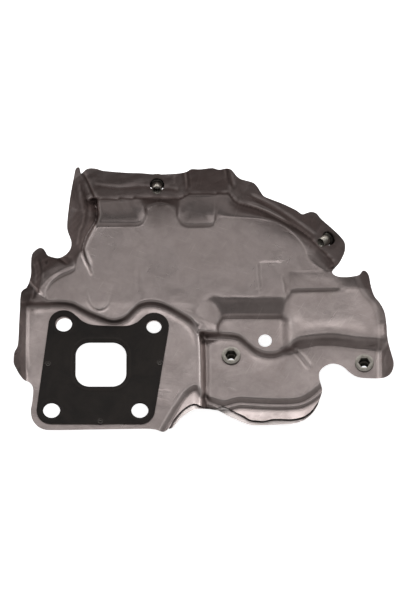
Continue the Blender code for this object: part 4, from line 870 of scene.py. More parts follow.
def close_shell(name: str, front: Skin, back: Skin, rim_points: int) -> bpy.types.Object:
    """Closes two skins that share their loops into one thin solid.

    Args:
        name: name of the object.
        front: the side towards the viewer, its faces anticlockwise.
        back: the other side. Its first points match those of the front.
        rim_points: how many points the loops have together.

    Returns:
        The new object.
    """
    size = len(front.points)
    directed = {(a, b) for face in front.faces for a, b in zip(face, face[1:] + face[:1])
                if a < rim_points and b < rim_points}
    rim = [(b, a, a + size, b + size) for a, b in directed if (b, a) not in directed]
    under = [tuple(i + size for i in reversed(face)) for face in back.faces]
    mesh = bpy.data.meshes.new(name)
    mesh.from_pydata(np.vstack([front.points, back.points]).tolist(), [],
                     [tuple(map(int, f)) for f in front.faces + under + sorted(rim)])
    mesh.update()
    layer = mesh.attributes.new("crease", "FLOAT", "POINT")
    layer.data.foreach_set("value", np.concatenate([front.crease, back.crease]).astype(np.float32))
    mesh.shade_smooth()
    mesh.set_sharp_from_angle(angle=math.radians(60.0))
    obj = bpy.data.objects.new(name, mesh)
    bpy.context.scene.collection.objects.link(obj)
    return obj


# ---------------------------------------------------------------- materials
class NodeCanvas:
    """A short way to add and join shader nodes."""

    def __init__(self, tree: bpy.types.NodeTree) -> None:
        """Keeps the tree that nodes are added to."""
        self.tree = tree

    def add(self, kind: str, inputs: Optional[Dict[object, object]] = None,
            **settings: object) -> bpy.types.Node:
        """Adds a node.

        Args:
            kind: the node's type name.
            inputs: socket name or number to a value, or to another node's output.
            settings: properties of the node itself.

        Returns:
            The new node.
        """
        node = self.tree.nodes.new(kind)
        for key, value in settings.items():
            setattr(node, key, value)
        for key, value in (inputs or {}).items():
            if isinstance(value, bpy.types.NodeSocket):
                self.tree.links.new(value, node.inputs[key])
            else:
                node.inputs[key].default_value = value
        return node

    def math(self, operation: str, a: object, b: object) -> bpy.types.NodeSocket:
        """A Math node's output."""
        return self.add("ShaderNodeMath", {0: a, 1: b}, operation=operation).outputs[0]

    def spread(self, value: object, low: float, high: float, to_low: float = 0.0,
               to_high: float = 1.0) -> bpy.types.NodeSocket:
        """A Map Range node's output."""
        node = self.add("ShaderNodeMapRange", {"Value": value, "From Min": low, "From Max": high,
                                               "To Min": to_low, "To Max": to_high})
        return node.outputs["Result"]

    def mix(self, share: object, a: object, b: object) -> bpy.types.NodeSocket:
        """A colour Mix node's output, a to b as the share goes from 0 to 1."""
        share_socket, first_colour, last_colour, result = 0, 6, 7, 2
        inputs = {share_socket: share, first_colour: a, last_colour: b}
        return self.add("ShaderNodeMix", inputs, data_type="RGBA").outputs[result]


def rgba(colour: Sequence[float]) -> Tuple[float, float, float, float]:
    """A colour with full alpha."""
    return (colour[0], colour[1], colour[2], 1.0)


class SharedEffects:
    """Node groups that several finishes use, built once."""

    grain_fineness = 26.0
    cloud_range = (0.40, 0.64)
    mark_range = (0.64, 0.78)
    _made: Dict[str, bpy.types.NodeTree] = {}

    @classmethod
    def _start(cls, name: str, inputs: Dict[str, float], outputs: Sequence[str]) -> bpy.types.NodeTree:
        """Makes an empty group with a Vector input and the named sockets."""
        tree = bpy.data.node_groups.new(name, "ShaderNodeTree")
        tree.interface.new_socket("Vector", in_out="INPUT", socket_type="NodeSocketVector")
        for key, value in inputs.items():
            socket = tree.interface.new_socket(key, in_out="INPUT", socket_type="NodeSocketFloat")
            socket.default_value = value
        for key in outputs:
            tree.interface.new_socket(key, in_out="OUTPUT", socket_type="NodeSocketFloat")
        cls._made[name] = tree
        return tree

    @classmethod
    def mottle(cls) -> bpy.types.NodeTree:
        """Cloudy variation and a fine grain, as on a coated and heated sheet."""
        name = "sheet_mottle"
        if name in cls._made:
            return cls._made[name]
        tree = cls._start(name, {"Scale": 40.0}, ("Clouds", "Grain"))
        canvas = NodeCanvas(tree)
        source = canvas.add("NodeGroupInput").outputs
        large = canvas.add("ShaderNodeTexNoise", {"Vector": source["Vector"], "Scale": source["Scale"],
                                                  "Detail": 5.0, "Roughness": 0.62, "Distortion": 0.6})
        fine_scale = canvas.math("MULTIPLY", source["Scale"], cls.grain_fineness)
        fine = canvas.add("ShaderNodeTexNoise", {"Vector": source["Vector"], "Scale": fine_scale,
                                                 "Detail": 3.0, "Roughness": 0.7})
        clouds = canvas.spread(large.outputs["Fac"], *cls.cloud_range)
        out = canvas.add("NodeGroupOutput")
        tree.links.new(clouds, out.inputs["Clouds"])
        tree.links.new(fine.outputs["Fac"], out.inputs["Grain"])
        return tree

    @classmethod
    def scratches(cls) -> bpy.types.NodeTree:
        """Thin drawn marks in one direction, as handling and the die leave them."""
        name = "draw_marks"
        if name in cls._made:
            return cls._made[name]
        tree = cls._start(name, {"Length": 60.0, "Fineness": 1400.0, "Angle": 0.5}, ("Marks",))
        canvas = NodeCanvas(tree)
        source = canvas.add("NodeGroupInput").outputs
        turn = {"Vector": source["Vector"], "Angle": source["Angle"]}
        parts = canvas.add("ShaderNodeSeparateXYZ", {
            "Vector": canvas.add("ShaderNodeVectorRotate", turn).outputs[0]}).outputs
        long_way = canvas.math("MULTIPLY", parts["X"], source["Length"])
        short_way = canvas.math("MULTIPLY", parts["Y"], source["Fineness"])
        joined = canvas.add("ShaderNodeCombineXYZ", {"X": long_way, "Y": short_way, "Z": parts["Z"]})
        noise = canvas.add("ShaderNodeTexNoise", {"Vector": joined.outputs[0], "Scale": 1.0, "Detail": 2.0,
                                                  "Roughness": 0.55})
        out = canvas.add("NodeGroupOutput")
        tree.links.new(canvas.spread(noise.outputs["Fac"], *cls.mark_range), out.inputs["Marks"])
        return tree


class FinishCanvas(NodeCanvas):
    """The nodes of one material, with what every finish starts from."""

    def __init__(self, name: str) -> None:
        """Makes the material and finds its shader.

        Args:
            name: name of the material.
        """
        self.material = bpy.data.materials.new(name)
        self.material.use_nodes = True
        super().__init__(self.material.node_tree)
        self.shader = self.tree.nodes["Principled BSDF"]
        self.spot = self.add("ShaderNodeTexCoord").outputs["Object"]

    def mottle(self, scale: float) -> Sequence[bpy.types.NodeSocket]:
        """The clouds and the grain of the shared mottle, at a scale."""
        inputs = {"Vector": self.spot, "Scale": scale}
        return self.add("ShaderNodeGroup", inputs, node_tree=SharedEffects.mottle()).outputs

    def scratches(self, length: float, fineness: float, angle: float) -> bpy.types.NodeSocket:
        """The shared scratches, along one direction."""
        inputs = {"Vector": self.spot, "Length": length, "Fineness": fineness, "Angle": angle}
        return self.add("ShaderNodeGroup", inputs, node_tree=SharedEffects.scratches()).outputs["Marks"]

    def crease(self) -> bpy.types.NodeSocket:
        """How creased, rubbed or deep the piece is, from its attribute: the steel makes it painted shade in
        hollows and a painted highlight on ridges, the gasket wear, the nuts painted shade in their deep
        places.
        """
        return self.add("ShaderNodeAttribute", attribute_name="crease").outputs["Fac"]

    def blend(self, mask: object, strength: float, under: object, over: object) -> bpy.types.NodeSocket:
        """Lays one colour over another where a mask is, at a strength."""
        return self.mix(self.math("MULTIPLY", mask, strength), under, over)

    def around(self, mask: object, middle: float, low: float, high: float) -> bpy.types.NodeSocket:
        """A roughness about a middle, moved from low to high by a mask."""
        return self.math("ADD", self.spread(mask, 0.0, 1.0, low, high), middle)

    def finish(self, tone: object, rough: object, lift: object, strength: float,
               relief: float) -> bpy.types.Material:
        """Joins everything to the shader.

        Args:
            tone: the colour.
            rough: the roughness.
            lift: height of the surface texture, 0 to 1.
            strength: strength of the bump.
            relief: what a lift of 1 stands for, in metres.

        Returns:
            The finished material.
        """
        bump = self.add("ShaderNodeBump", {"Strength": strength, "Distance": relief, "Height": lift})
        self.tree.links.new(tone, self.shader.inputs["Base Color"])
        self.tree.links.new(rough, self.shader.inputs["Roughness"])
        self.tree.links.new(bump.outputs[0], self.shader.inputs["Normal"])
        return self.material


@dataclass(frozen=True)
class SteelFinish:
    """Aluminised sheet steel, slightly tinted by heat.

    Attributes:
        name: name of the material.
        light: colour of the painted highlight on ridges, and of the scratches.
        base: colour of the open panels.
        dark: colour of the painted shade in the creases, and of the clouds.
        roughness: mean roughness.
        relief: height of the surface texture, in metres.
        cloud_scale: scale of the large clouds.
        speckle_scale: scale of the small clouds.
        crease_range: crease at which the painted shade and the painted highlight start and are full.
        scratch_runs: length, fineness and angle of each run of scratches.
    """

    name: str
    light: Tuple[float, float, float]
    base: Tuple[float, float, float]
    dark: Tuple[float, float, float]
    roughness: float
    relief: float = 0.00006
    cloud_scale: float = 34.0
    cloud_share: float = 0.42
    speckle_scale: float = 160.0
    speckle_share: float = 0.30
    crease_range: Tuple[float, float] = (0.015, 0.30)
    hollow_shade_share: float = 0.75
    ridge_highlight_share: float = 0.9
    scratch_runs: Tuple[Tuple[float, float, float], ...] = ((50.0, 1500.0, 0.35), (45.0, 1100.0, 2.1))
    scratch_share: float = 0.30
    scratch_polish: float = 0.08
    bump_strength: float = 0.5

    def material(self) -> bpy.types.Material:
        """Builds the material."""
        canvas = FinishCanvas(self.name)
        mottle = canvas.mottle(self.cloud_scale)
        speckle = canvas.mottle(self.speckle_scale)
        along, across = (canvas.scratches(*run) for run in self.scratch_runs)
        marks = canvas.math("MAXIMUM", along, across)
        crease = canvas.crease()
        start, full = self.crease_range
        tone = canvas.blend(mottle["Clouds"], self.cloud_share, rgba(self.base), rgba(self.dark))
        # Hollows get painted shade and ridges a painted highlight, from the crease attribute; the clouds, the
        # speckle and the scratches are the steel's own tone.
        for mask, share, colour in ((speckle["Clouds"], self.speckle_share, self.dark),
                                    (canvas.spread(crease, start, full), self.hollow_shade_share, self.dark),
                                    (canvas.spread(crease, -start, -full), self.ridge_highlight_share, self.light),
                                    (marks, self.scratch_share, self.light)):
            tone = canvas.blend(mask, share, tone, rgba(colour))
        rough = canvas.around(mottle["Clouds"], self.roughness, -0.05, 0.07)
        rough = canvas.math("ADD", rough, canvas.math("MULTIPLY", marks, -self.scratch_polish))
        lift = canvas.math("ADD", canvas.math("MULTIPLY", speckle["Grain"], 0.5),
                           canvas.math("MULTIPLY", mottle["Clouds"], 3.0))
        lift = canvas.math("SUBTRACT", lift, canvas.math("MULTIPLY", marks, 0.5))
        canvas.shader.inputs["Metallic"].default_value = 1.0
        return canvas.finish(tone, rough, lift, self.bump_strength, self.relief)


@dataclass(frozen=True)
class CoatingFinish:
    """Black elastomer coating on spring steel.

    Attributes:
        name: name of the material.
        colour: colour of the coating.
        worn: colour where it is rubbed.
        roughness: mean roughness.
        specular: strength of the coating's shine.
        relief: height of the surface texture, in metres.
        scratch_run: length, fineness and angle of the scratches.
    """

    name: str
    colour: Tuple[float, float, float]
    worn: Tuple[float, float, float]
    roughness: float
    specular: float = 0.2
    relief: float = 0.00003
    cloud_scale: float = 60.0
    cloud_share: float = 0.35
    scratch_run: Tuple[float, float, float] = (70.0, 1700.0, 1.1)
    scratch_share: float = 0.25
    rubbed_share: float = 0.8
    bump_strength: float = 0.4

    def material(self) -> bpy.types.Material:
        """Builds the material."""
        canvas = FinishCanvas(self.name)
        mottle = canvas.mottle(self.cloud_scale)
        worn = rgba(self.worn)
        tone = canvas.blend(mottle["Clouds"], self.cloud_share, rgba(self.colour), worn)
        tone = canvas.blend(canvas.scratches(*self.scratch_run), self.scratch_share, tone, worn)
        tone = canvas.mix(canvas.spread(canvas.crease(), 0.0, 1.0, 0.0, self.rubbed_share), tone, worn)
        rough = canvas.around(mottle["Clouds"], self.roughness, -0.06, 0.06)
        canvas.shader.inputs["Specular IOR Level"].default_value = self.specular
        return canvas.finish(tone, rough, mottle["Grain"], self.bump_strength, self.relief)


@dataclass(frozen=True)
class PlatedFinish:
    """Zinc plated or dark coated small steel pieces.

    Attributes:
        name: name of the material.
        colour: main colour.
        stain_and_shade: colour of the clouds.
        roughness: mean roughness.
        metallic: 1 for bare plate, less for a coat over it.
        shade: colour of the painted shade in the deep places.
        relief: height of the surface texture, in metres.
    """

    name: str
    colour: Tuple[float, float, float]
    stain_and_shade: Tuple[float, float, float]
    roughness: float
    metallic: float
    shade: Tuple[float, float, float] = (0.02, 0.019, 0.017)
    relief: float = 0.00004
    cloud_scale: float = 260.0
    cloud_share: float = 0.6
    shade_share: float = 0.9
    grain_range: Tuple[float, float] = (0.3, 0.7)
    grain_rough: float = 0.08
    bump_strength: float = 0.35

    def material(self) -> bpy.types.Material:
        """Builds the material."""
        canvas = FinishCanvas(self.name)
        mottle = canvas.mottle(self.cloud_scale)
        tone = canvas.blend(mottle["Clouds"], self.cloud_share, rgba(self.colour), rgba(self.stain_and_shade))
        # Painted shade in the deep places that the crease attribute marks.
        tone = canvas.blend(canvas.crease(), self.shade_share, tone, rgba(self.shade))
        grain = canvas.spread(mottle["Grain"], *self.grain_range, -self.grain_rough, self.grain_rough)
        rough = canvas.math("ADD", grain, self.roughness)
        canvas.shader.inputs["Metallic"].default_value = self.metallic
        return canvas.finish(tone, rough, mottle["Grain"], self.bump_strength, self.relief)


FRONT_STEEL = SteelFinish("front_sheet_steel", light=(0.74, 0.67, 0.65), base=(0.47, 0.41, 0.40),
                          dark=(0.25, 0.21, 0.20), roughness=0.34)
# The rear sheet's steel is painted lighter than the front's: a painted light for the rear strip under the
# lower lip, which the front sheet shades.
REAR_STEEL = SteelFinish("rear_sheet_steel", light=(0.66, 0.62, 0.61), base=(0.52, 0.48, 0.47),
                         dark=(0.33, 0.30, 0.29), roughness=0.40)
GASKET_COAT = CoatingFinish("gasket_coat", colour=(0.0085, 0.0060, 0.0050), worn=(0.035, 0.028, 0.024),
                            roughness=0.55)
RIVET_COAT = PlatedFinish("gasket_rivet_coat", colour=(0.045, 0.04, 0.036), stain_and_shade=(0.012, 0.010, 0.009),
                          roughness=0.24, metallic=0.6)
NUT_ZINC = PlatedFinish("rivet_nut_zinc", colour=(0.38, 0.36, 0.325), stain_and_shade=(0.17, 0.16, 0.14),
                        roughness=0.34, metallic=1.0)


# ---------------------------------------------------------------- the two sheets
def hand_over(piece: bpy.types.Object, slot: str, *nodes: str) -> None:
    """Fixes a finished piece to the body in place of its CAD nodes and reports it.

    Args:
        piece: the finished piece.
        slot: not used.
        nodes: the CAD nodes it stands for.
    """
    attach(piece, ROOT_BODY)
    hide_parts(*nodes)
    log.info("%s: %d faces", piece.name, len(piece.data.polygons))


class SheetSide(Enum):
    """Which of the two pressed sheets."""

    FRONT = "front_sheet"
    REAR = "rear_sheet"


@dataclass
class PressedSheets:
    """The two nested steel sheets of the shield.

    Attributes:
        surface: the surface both are pressed to.
        limits: corners of the box that the sheets stay in, metres.
        thickness: thickness of one sheet, mm.
        gap: air gap between the sheets, mm.
        lip_gap: how far the sheets part along the lower lip, mm.
        hem_depth: depth of the rear sheet where it reaches past the front one, mm.
        least_facing: least share of a wall that faces the press, so that a steep one stays thin.
        fine_step: grid of the side that is seen, mm.
        coarse_step: grid of the side that is hidden, mm.
        rear_coarseness: how much coarser the rear sheet's grid is.
        outline_step: spacing of the points along the trimmed edge, mm.
        stud_shifts: how far each stud hole of the sheet is off the gasket's, mm.
    """

    surface: PressedSurface
    limits: Tuple[Vector, Vector]
    thickness: float = 0.5
    gap: float = 0.5
    lip_gap: float = 0.2
    hem_depth: float = 0.35
    least_facing: float = 0.5
    normal_probe: float = 3.0
    fine_step: float = 0.64
    coarse_step: float = 1.4
    rear_coarseness: float = 1.5
    outline_step: float = 0.8
    port_size: Tuple[float, float] = (30.3, 29.5)
    port_corner: float = 8.7
    stud_hole: float = 9.8
    upper_stud_hole: float = 8.8
    stud_shifts: Tuple[Point, ...] = ((0.0, 0.0), (0.0, 0.0), (0.7, -1.2), (0.0, -0.9))
    plain_hole: float = 7.8
    nut_hole: float = 8.6
    rivet_hole: float = 2.4

    def outline(self, side: SheetSide) -> Array:
        """The trimmed edge of one sheet on the die plane."""
        rest = FRONT_ONLY if side is SheetSide.FRONT else REAR_ONLY
        shared = smooth_line(SHARED_EDGE, self.outline_step)
        return np.vstack([shared[:-1], smooth_line(rest, self.outline_step)[:-1]])

    def flat_loop(self, loop: Iterable[Point], level: float) -> Array:
        """A loop drawn square to +Z at a level, moved to the die plane."""
        return np.array([self.surface.press.on_die(x, y, level) for x, y in loop])

    def holes(self, side: SheetSide) -> List[Array]:
        """The holes of one sheet on the die plane."""
        loops: List[Array] = []
        if side is SheetSide.FRONT:
            sizes = (self.stud_hole, self.stud_hole, self.stud_hole, self.upper_stud_hole)
            for (x, y), (dx, dy), size in zip(STUD_HOLES, self.stud_shifts, sizes):
                loops.append(self.flat_loop(circle((x + dx, y + dy), size / 2, 44), 0.0))
            loops += [self.flat_loop(circle(c, self.rivet_hole / 2, 14), 0.0) for c in GASKET_RIVETS]
            loops.append(self.flat_loop(round_rectangle(self.port_size, self.port_corner, 12), 0.0))
        for centre in PANEL_NUTS + (PLAIN_HOLE,):
            spot = self.surface.spot(centre)[0]
            size = self.plain_hole if centre == PLAIN_HOLE else self.nut_hole
            loops.append(self.flat_loop(circle((spot.x, spot.y), size / 2, 36), spot.z))
        loops += [self.wall_loop(centre, self.nut_hole / 2) for centre in WALL_NUTS]
        return loops

    def wall_loop(self, centre: Point, radius: float, count: int = 36) -> Array:
        """A circle square to the sheet at a point of a standing wall, on the die plane."""
        middle, normal = self.surface.spot(centre)
        across = normal.orthogonal().normalized()
        other = normal.cross(across)
        loop: List[Point] = []
        for k in range(count):
            turn = 2 * math.pi * k / count
            spot = middle + radius * (math.cos(turn) * across + math.sin(turn) * other)
            loop.append(self.surface.press.on_die(spot.x, spot.y, spot.z))
        return np.array(loop)

    def skin(self, mesher: FlatMesher, base: Callable[[Array, Array], Array], extra: float) -> Skin:
        """One side of a sheet.

        Args:
            mesher: fills the outline.
            base: depth of the sheet's front face under the form, over the die plane.
            extra: depth of this side under the front face.

        Returns:
            The side, in metres.
        """
        flat, faces = mesher.build()
        u, v = flat.T
        press = self.surface.press
        facing = self.surface.normals(u, v, self.normal_probe) @ press.press
        sink = (base(u, v) + extra) / np.maximum(facing, self.least_facing)
        points = press.place(u, v, self.surface.height(u, v)) - sink[:, None] * press.press
        low, high = (np.array(corner) for corner in self.limits)
        return Skin(np.clip(press.world(points), low, high), faces, self.surface.crease(u, v))

    def build(self, side: SheetSide) -> bpy.types.Object:
        """Makes one sheet.

        Args:
            side: which sheet.

        Returns:
            The finished object.
        """
        def base(u: Array, v: Array) -> Array:
            """Depth of the sheet under the form."""
            if side is SheetSide.FRONT:
                return np.zeros(u.shape)
            apart = self.lip_gap * np.clip((-24.0 - v) / 8.0, 0.0, 1.0) * (u > 58.0)
            beyond = soft_step(-depth_inside(u, v, front_edge), 0.3, 1.6) * (v < 0.0)
            return (self.thickness + self.gap + apart) * (1.0 - beyond) + self.hem_depth * beyond

        front_edge = self.outline(SheetSide.FRONT)
        outline = self.outline(side)
        holes = self.holes(side)
        steps = (self.fine_step, self.coarse_step)
        if side is SheetSide.REAR:
            steps = (self.fine_step * self.rear_coarseness, self.fine_step)
        front = self.skin(FlatMesher(outline, holes, steps[0]), base, 0.0)
        back = self.skin(FlatMesher(outline, holes, steps[1]), base, self.thickness)
        rim_points = len(outline) + sum(len(hole) for hole in holes)
        piece = close_shell(side.value + "_pressed", front, back, rim_points)
        finish = FRONT_STEEL if side is SheetSide.FRONT else REAR_STEEL
        piece.data.materials.append(finish.material())
        hand_over(piece, side.value, side.value)
        return piece


def round_rectangle(size: Tuple[float, float], radius: float, count: int) -> Array:
    """Points of a rectangle with round corners about the origin, anticlockwise."""
    points: List[Point] = []
    for quarter, (sx, sy) in enumerate(((1, 1), (-1, 1), (-1, -1), (1, -1))):
        for k in range(count + 1):
            angle = math.radians(90.0 * quarter + 90.0 * k / count)
            points.append((sx * (size[0] / 2 - radius) + radius * math.cos(angle),
                           sy * (size[1] / 2 - radius) + radius * math.sin(angle)))
    return np.array(points)


# ---------------------------------------------------------------- the gasket
@dataclass
class FlangeGasket:
    """The black coated gasket layers and their three rivets.

    Attributes:
        press: how the die plane stands, for the datum.
        thickness: thickness of a layer, mm.
        clearance: gap to the shield, mm.
        port_bead: how far outside the port its bead runs, mm.
        stud_bead: radius of the half bead round a stud, mm.
        stud_bead_share: its height as a share of the full bead.
        edge_round: width and depth of the rounded edge, mm.
    """

    press: PressFrame
    thickness: float = 0.3
    clearance: float = 0.3
    sheet_thickness: float = 0.5
    lobe_radius: float = 8.7
    port_size: Tuple[float, float] = (29.3, 28.5)
    port_corner: float = 8.2
    stud_hole: float = 9.8
    upper_stud_hole: float = 8.8
    rivet_hole: float = 2.4
    bead_width: float = 1.6
    bead_height: float = 0.12
    port_bead: float = 2.1
    stud_bead: float = 6.6
    stud_bead_share: float = 0.35
    edge_round: Tuple[float, float] = (0.4, 0.05)
    bead_wear: float = 0.4
    rivet_segments: int = 32
    step: float = 0.55

    def outline(self) -> Array:
        """A lobe round each stud and a dip between the upper two."""
        def lobe(centre: Point, start: float, stop: float) -> List[Point]:
            """An arc round one stud hole, in degrees."""
            turns = np.radians(np.linspace(start, stop, 14))
            return [(centre[0] + self.lobe_radius * math.cos(a), centre[1] + self.lobe_radius * math.sin(a))
                    for a in turns]

        lower_left, lower_right, upper_left, upper_right = STUD_HOLES
        dip = smooth_line(GASKET_DIP, 1.2).tolist()
        loop = (lobe(lower_left, 270.0, 173.0) + lobe(upper_left, 173.0, 42.0) + dip
                + lobe(upper_right, 138.0, -8.0) + lobe(lower_right, -8.0, -90.0))
        return np.array(loop)[::-1]

    def holes(self) -> List[Array]:
        """Port, stud holes and rivet holes."""
        sizes = (self.stud_hole, self.stud_hole, self.stud_hole, self.upper_stud_hole)
        loops = [circle(c, d / 2, 48) for c, d in zip(STUD_HOLES, sizes)]
        loops += [circle(c, self.rivet_hole / 2, 16) for c in GASKET_RIVETS]
        loops.append(round_rectangle(self.port_size, self.port_corner, 14))
        return loops

    def bead(self, x: Array, y: Array) -> Array:
        """Height of the beads, 0 to 1: a full one round the port and a half one round each stud."""
        def ridge(away: Array) -> Array:
            """A rounded bead about a line."""
            reach = np.clip(np.abs(away) / (self.bead_width / 2), 0.0, 1.0)
            return 0.5 + 0.5 * np.cos(np.pi * reach)

        port = round_rectangle(self.port_size, self.port_corner, 14)
        lift = ridge(-depth_inside(x, y, port) - self.port_bead)
        for centre in STUD_HOLES:
            half = ridge(np.hypot(x - centre[0], y - centre[1]) - self.stud_bead)
            lift = np.maximum(lift, self.stud_bead_share * half)
        return lift

    def layer(self, node: str, low: float, up: float) -> bpy.types.Object:
        """Makes one layer.

        Args:
            node: the CAD node it stands for.
            low: height of its lower face over the datum, mm.
            up: 1 if its beads stand towards the open side, -1 if towards the back.

        Returns:
            The finished object.
        """
        mesher = FlatMesher(self.outline(), self.holes(), self.step)
        flat, faces = mesher.build()
        x, y = flat.T
        lift = self.bead(x, y)
        raised = up * self.bead_height * lift
        edge = np.clip(mesher.depth(x, y) / self.edge_round[0], 0.0, 1.0)
        rounding = self.edge_round[1] * (1.0 - edge)
        top = low + self.thickness - rounding + (raised if up > 0 else 0.0)
        under = low + rounding + (raised if up < 0 else 0.0)
        front = np.column_stack([x, y, top])
        back = np.column_stack([x, y, under])
        rubbed = np.maximum(1.0 - edge, self.bead_wear * lift)
        rim_points = len(mesher.outline) + sum(len(hole) for hole in mesher.holes)
        piece = close_shell(node + "_beaded", Skin(self.press.world(front), faces, rubbed),
                            Skin(self.press.world(back), faces, rubbed), rim_points)
        piece.data.materials.append(GASKET_COAT.material())
        hand_over(piece, "gasket_coating", node)
        return piece

    def rivets(self) -> bpy.types.Object:
        """The three rivets, one profile placed on three points."""
        stack = self.thickness + self.clearance
        top = stack + 0.06
        bottom = -(self.sheet_thickness + stack) - 0.06
        profile = (
            (0.0, top + 0.46), (0.22, top + 0.42), (0.4, top + 0.3), (0.48, top + 0.1), (0.6, top + 0.04),
            (1.2, top + 0.04), (1.35, top + 0.16), (1.55, top + 0.16), (1.7, top + 0.06),
            (1.68, top - 0.02), (0.9, top - 0.04), (0.9, bottom + 0.04), (1.68, bottom + 0.02),
            (1.7, bottom - 0.1), (1.5, bottom - 0.28), (1.0, bottom - 0.34), (0.0, bottom - 0.34),
        )
        seed = turned_body("rivet_profile", profile, self.rivet_segments)
        spots = [self.press.datum + Vector((x, y, 0.0)) * MM for x, y in GASKET_RIVETS]
        upright = [Matrix.Identity(3)] * len(spots)
        piece = place_copies("gasket_rivets", seed, spots, upright, RIVET_COAT.material())
        hand_over(piece, "gasket_rivet", "gasket_rivet_left", "gasket_rivet_right", "gasket_rivet_bottom")
        return piece

    def build(self) -> List[bpy.types.Object]:
        """Makes every piece of the gasket."""
        below = -self.sheet_thickness - self.clearance - self.thickness
        return [self.layer("gasket_front_layer", self.clearance, 1.0),
                self.layer("gasket_rear_layer", below, -1.0),
                self.rivets()]


def turned_body(name: str, profile: Sequence[Point], segments: int) -> bpy.types.Object:
    """A closed turned body from a profile that starts and ends on the axis.

    Args:
        name: name of the object.
        profile: radius and height pairs in millimetres, top to bottom.
        segments: number of sides.

    Returns:
        The new object, in metres.
    """
    bm = bmesh.new()
    rings: List[List[bmesh.types.BMVert]] = []
    for radius, height in profile:
        if radius == 0.0:
            rings.append([bm.verts.new((0.0, 0.0, height * MM))])
            continue
        rings.append([bm.verts.new((radius * math.cos(t) * MM, radius * math.sin(t) * MM, height * MM))
                      for t in np.linspace(0.0, 2 * math.pi, segments, endpoint=False)])
    for a, b in zip(rings, rings[1:]):
        for k in range(segments):
            m = (k + 1) % segments
            if len(a) == 1:
                bm.faces.new((a[0], b[k], b[m]))
            elif len(b) == 1:
                bm.faces.new((a[k], b[0], a[m]))
            else:
                bm.faces.new((a[k], b[k], b[m], a[m]))
    bmesh.ops.recalc_face_normals(bm, faces=bm.faces)
    return mesh_object(name, bm, 40.0)


def mesh_object(name: str, bm: bmesh.types.BMesh, sharp: float) -> bpy.types.Object:
    """Turns a bmesh into a linked, smooth shaded object."""
    mesh = bpy.data.meshes.new(name)
    bm.to_mesh(mesh)
    bm.free()
    mesh.shade_smooth()
    mesh.set_sharp_from_angle(angle=math.radians(sharp))
    obj = bpy.data.objects.new(name, mesh)
    bpy.context.scene.collection.objects.link(obj)
    return obj


def place_copies(name: str, seed: bpy.types.Object, spots: Sequence[Vector], turns: Sequence[Matrix],
                 material: bpy.types.Material) -> bpy.types.Object:
    """Copies one body onto turned points with Geometry Nodes and bakes the result.

    Args:
        name: name of the finished object.
        seed: the body that is copied. It is removed.
        spots: where the copies go, in metres.
        turns: how each is turned.
        material: what they are made of.

    Returns:
        One plain mesh object with all the copies.
    """
    mesh = bpy.data.meshes.new(name + "_points")
    mesh.from_pydata([tuple(s) for s in spots], [], [])
    layer = mesh.attributes.new("turn", "FLOAT_VECTOR", "POINT")
    layer.data.foreach_set("vector", [c for t in turns for c in t.to_euler("XYZ")])
    carrier = bpy.data.objects.new(name + "_points", mesh)
    bpy.context.scene.collection.objects.link(carrier)

    tree = bpy.data.node_groups.new(name + "_copies", "GeometryNodeTree")
    tree.interface.new_socket("Geometry", in_out="INPUT", socket_type="NodeSocketGeometry")
    for key, kind in (("Body", "NodeSocketObject"), ("Size", "NodeSocketFloat"),
                      ("Finish", "NodeSocketMaterial")):
        tree.interface.new_socket(key, in_out="INPUT", socket_type=kind)
    tree.interface.new_socket("Geometry", in_out="OUTPUT", socket_type="NodeSocketGeometry")
    canvas = NodeCanvas(tree)
    source = canvas.add("NodeGroupInput").outputs
    body = canvas.add("GeometryNodeObjectInfo", {"Object": source["Body"]}).outputs["Geometry"]
    turn = canvas.add("GeometryNodeInputNamedAttribute", {"Name": "turn"},
                      data_type="FLOAT_VECTOR").outputs[0]
    copies = canvas.add("GeometryNodeInstanceOnPoints", {"Points": source["Geometry"], "Instance": body,
                                                         "Rotation": turn})
    canvas.tree.links.new(source["Size"], copies.inputs["Scale"])
    real = canvas.add("GeometryNodeRealizeInstances", {"Geometry": copies.outputs[0]})
    dressed = canvas.add("GeometryNodeSetMaterial", {"Geometry": real.outputs[0],
                                                     "Material": source["Finish"]})
    out = canvas.add("NodeGroupOutput")
    tree.links.new(dressed.outputs[0], out.inputs[0])

    modifier = carrier.modifiers.new("copies", "NODES")
    modifier.node_group = tree
    ids = {item.name: item.identifier for item in tree.interface.items_tree if item.in_out == "INPUT"}
    modifier[ids["Body"]] = seed
    modifier[ids["Size"]] = 1.0
    modifier[ids["Finish"]] = material
    piece = bake_modifiers(carrier, name)
    bpy.data.objects.remove(seed, do_unlink=True)
    return piece


def bake_modifiers(carrier: bpy.types.Object, name: str) -> bpy.types.Object:
    """Turns an object with live modifiers into a plain mesh object."""
    bpy.context.view_layer.update()
    graph = bpy.context.evaluated_depsgraph_get()
    mesh = bpy.data.meshes.new_from_object(carrier.evaluated_get(graph), depsgraph=graph)
    mesh.name = name
    piece = bpy.data.objects.new(name, mesh)
    bpy.context.scene.collection.objects.link(piece)
    bpy.data.objects.remove(carrier, do_unlink=True)
    return piece


# ---------------------------------------------------------------- rivet nuts
class NutSeat(Enum):
    """Which side of the shield a nut's flange is on."""

    OPEN_SIDE = "open side"
    BACK = "back"


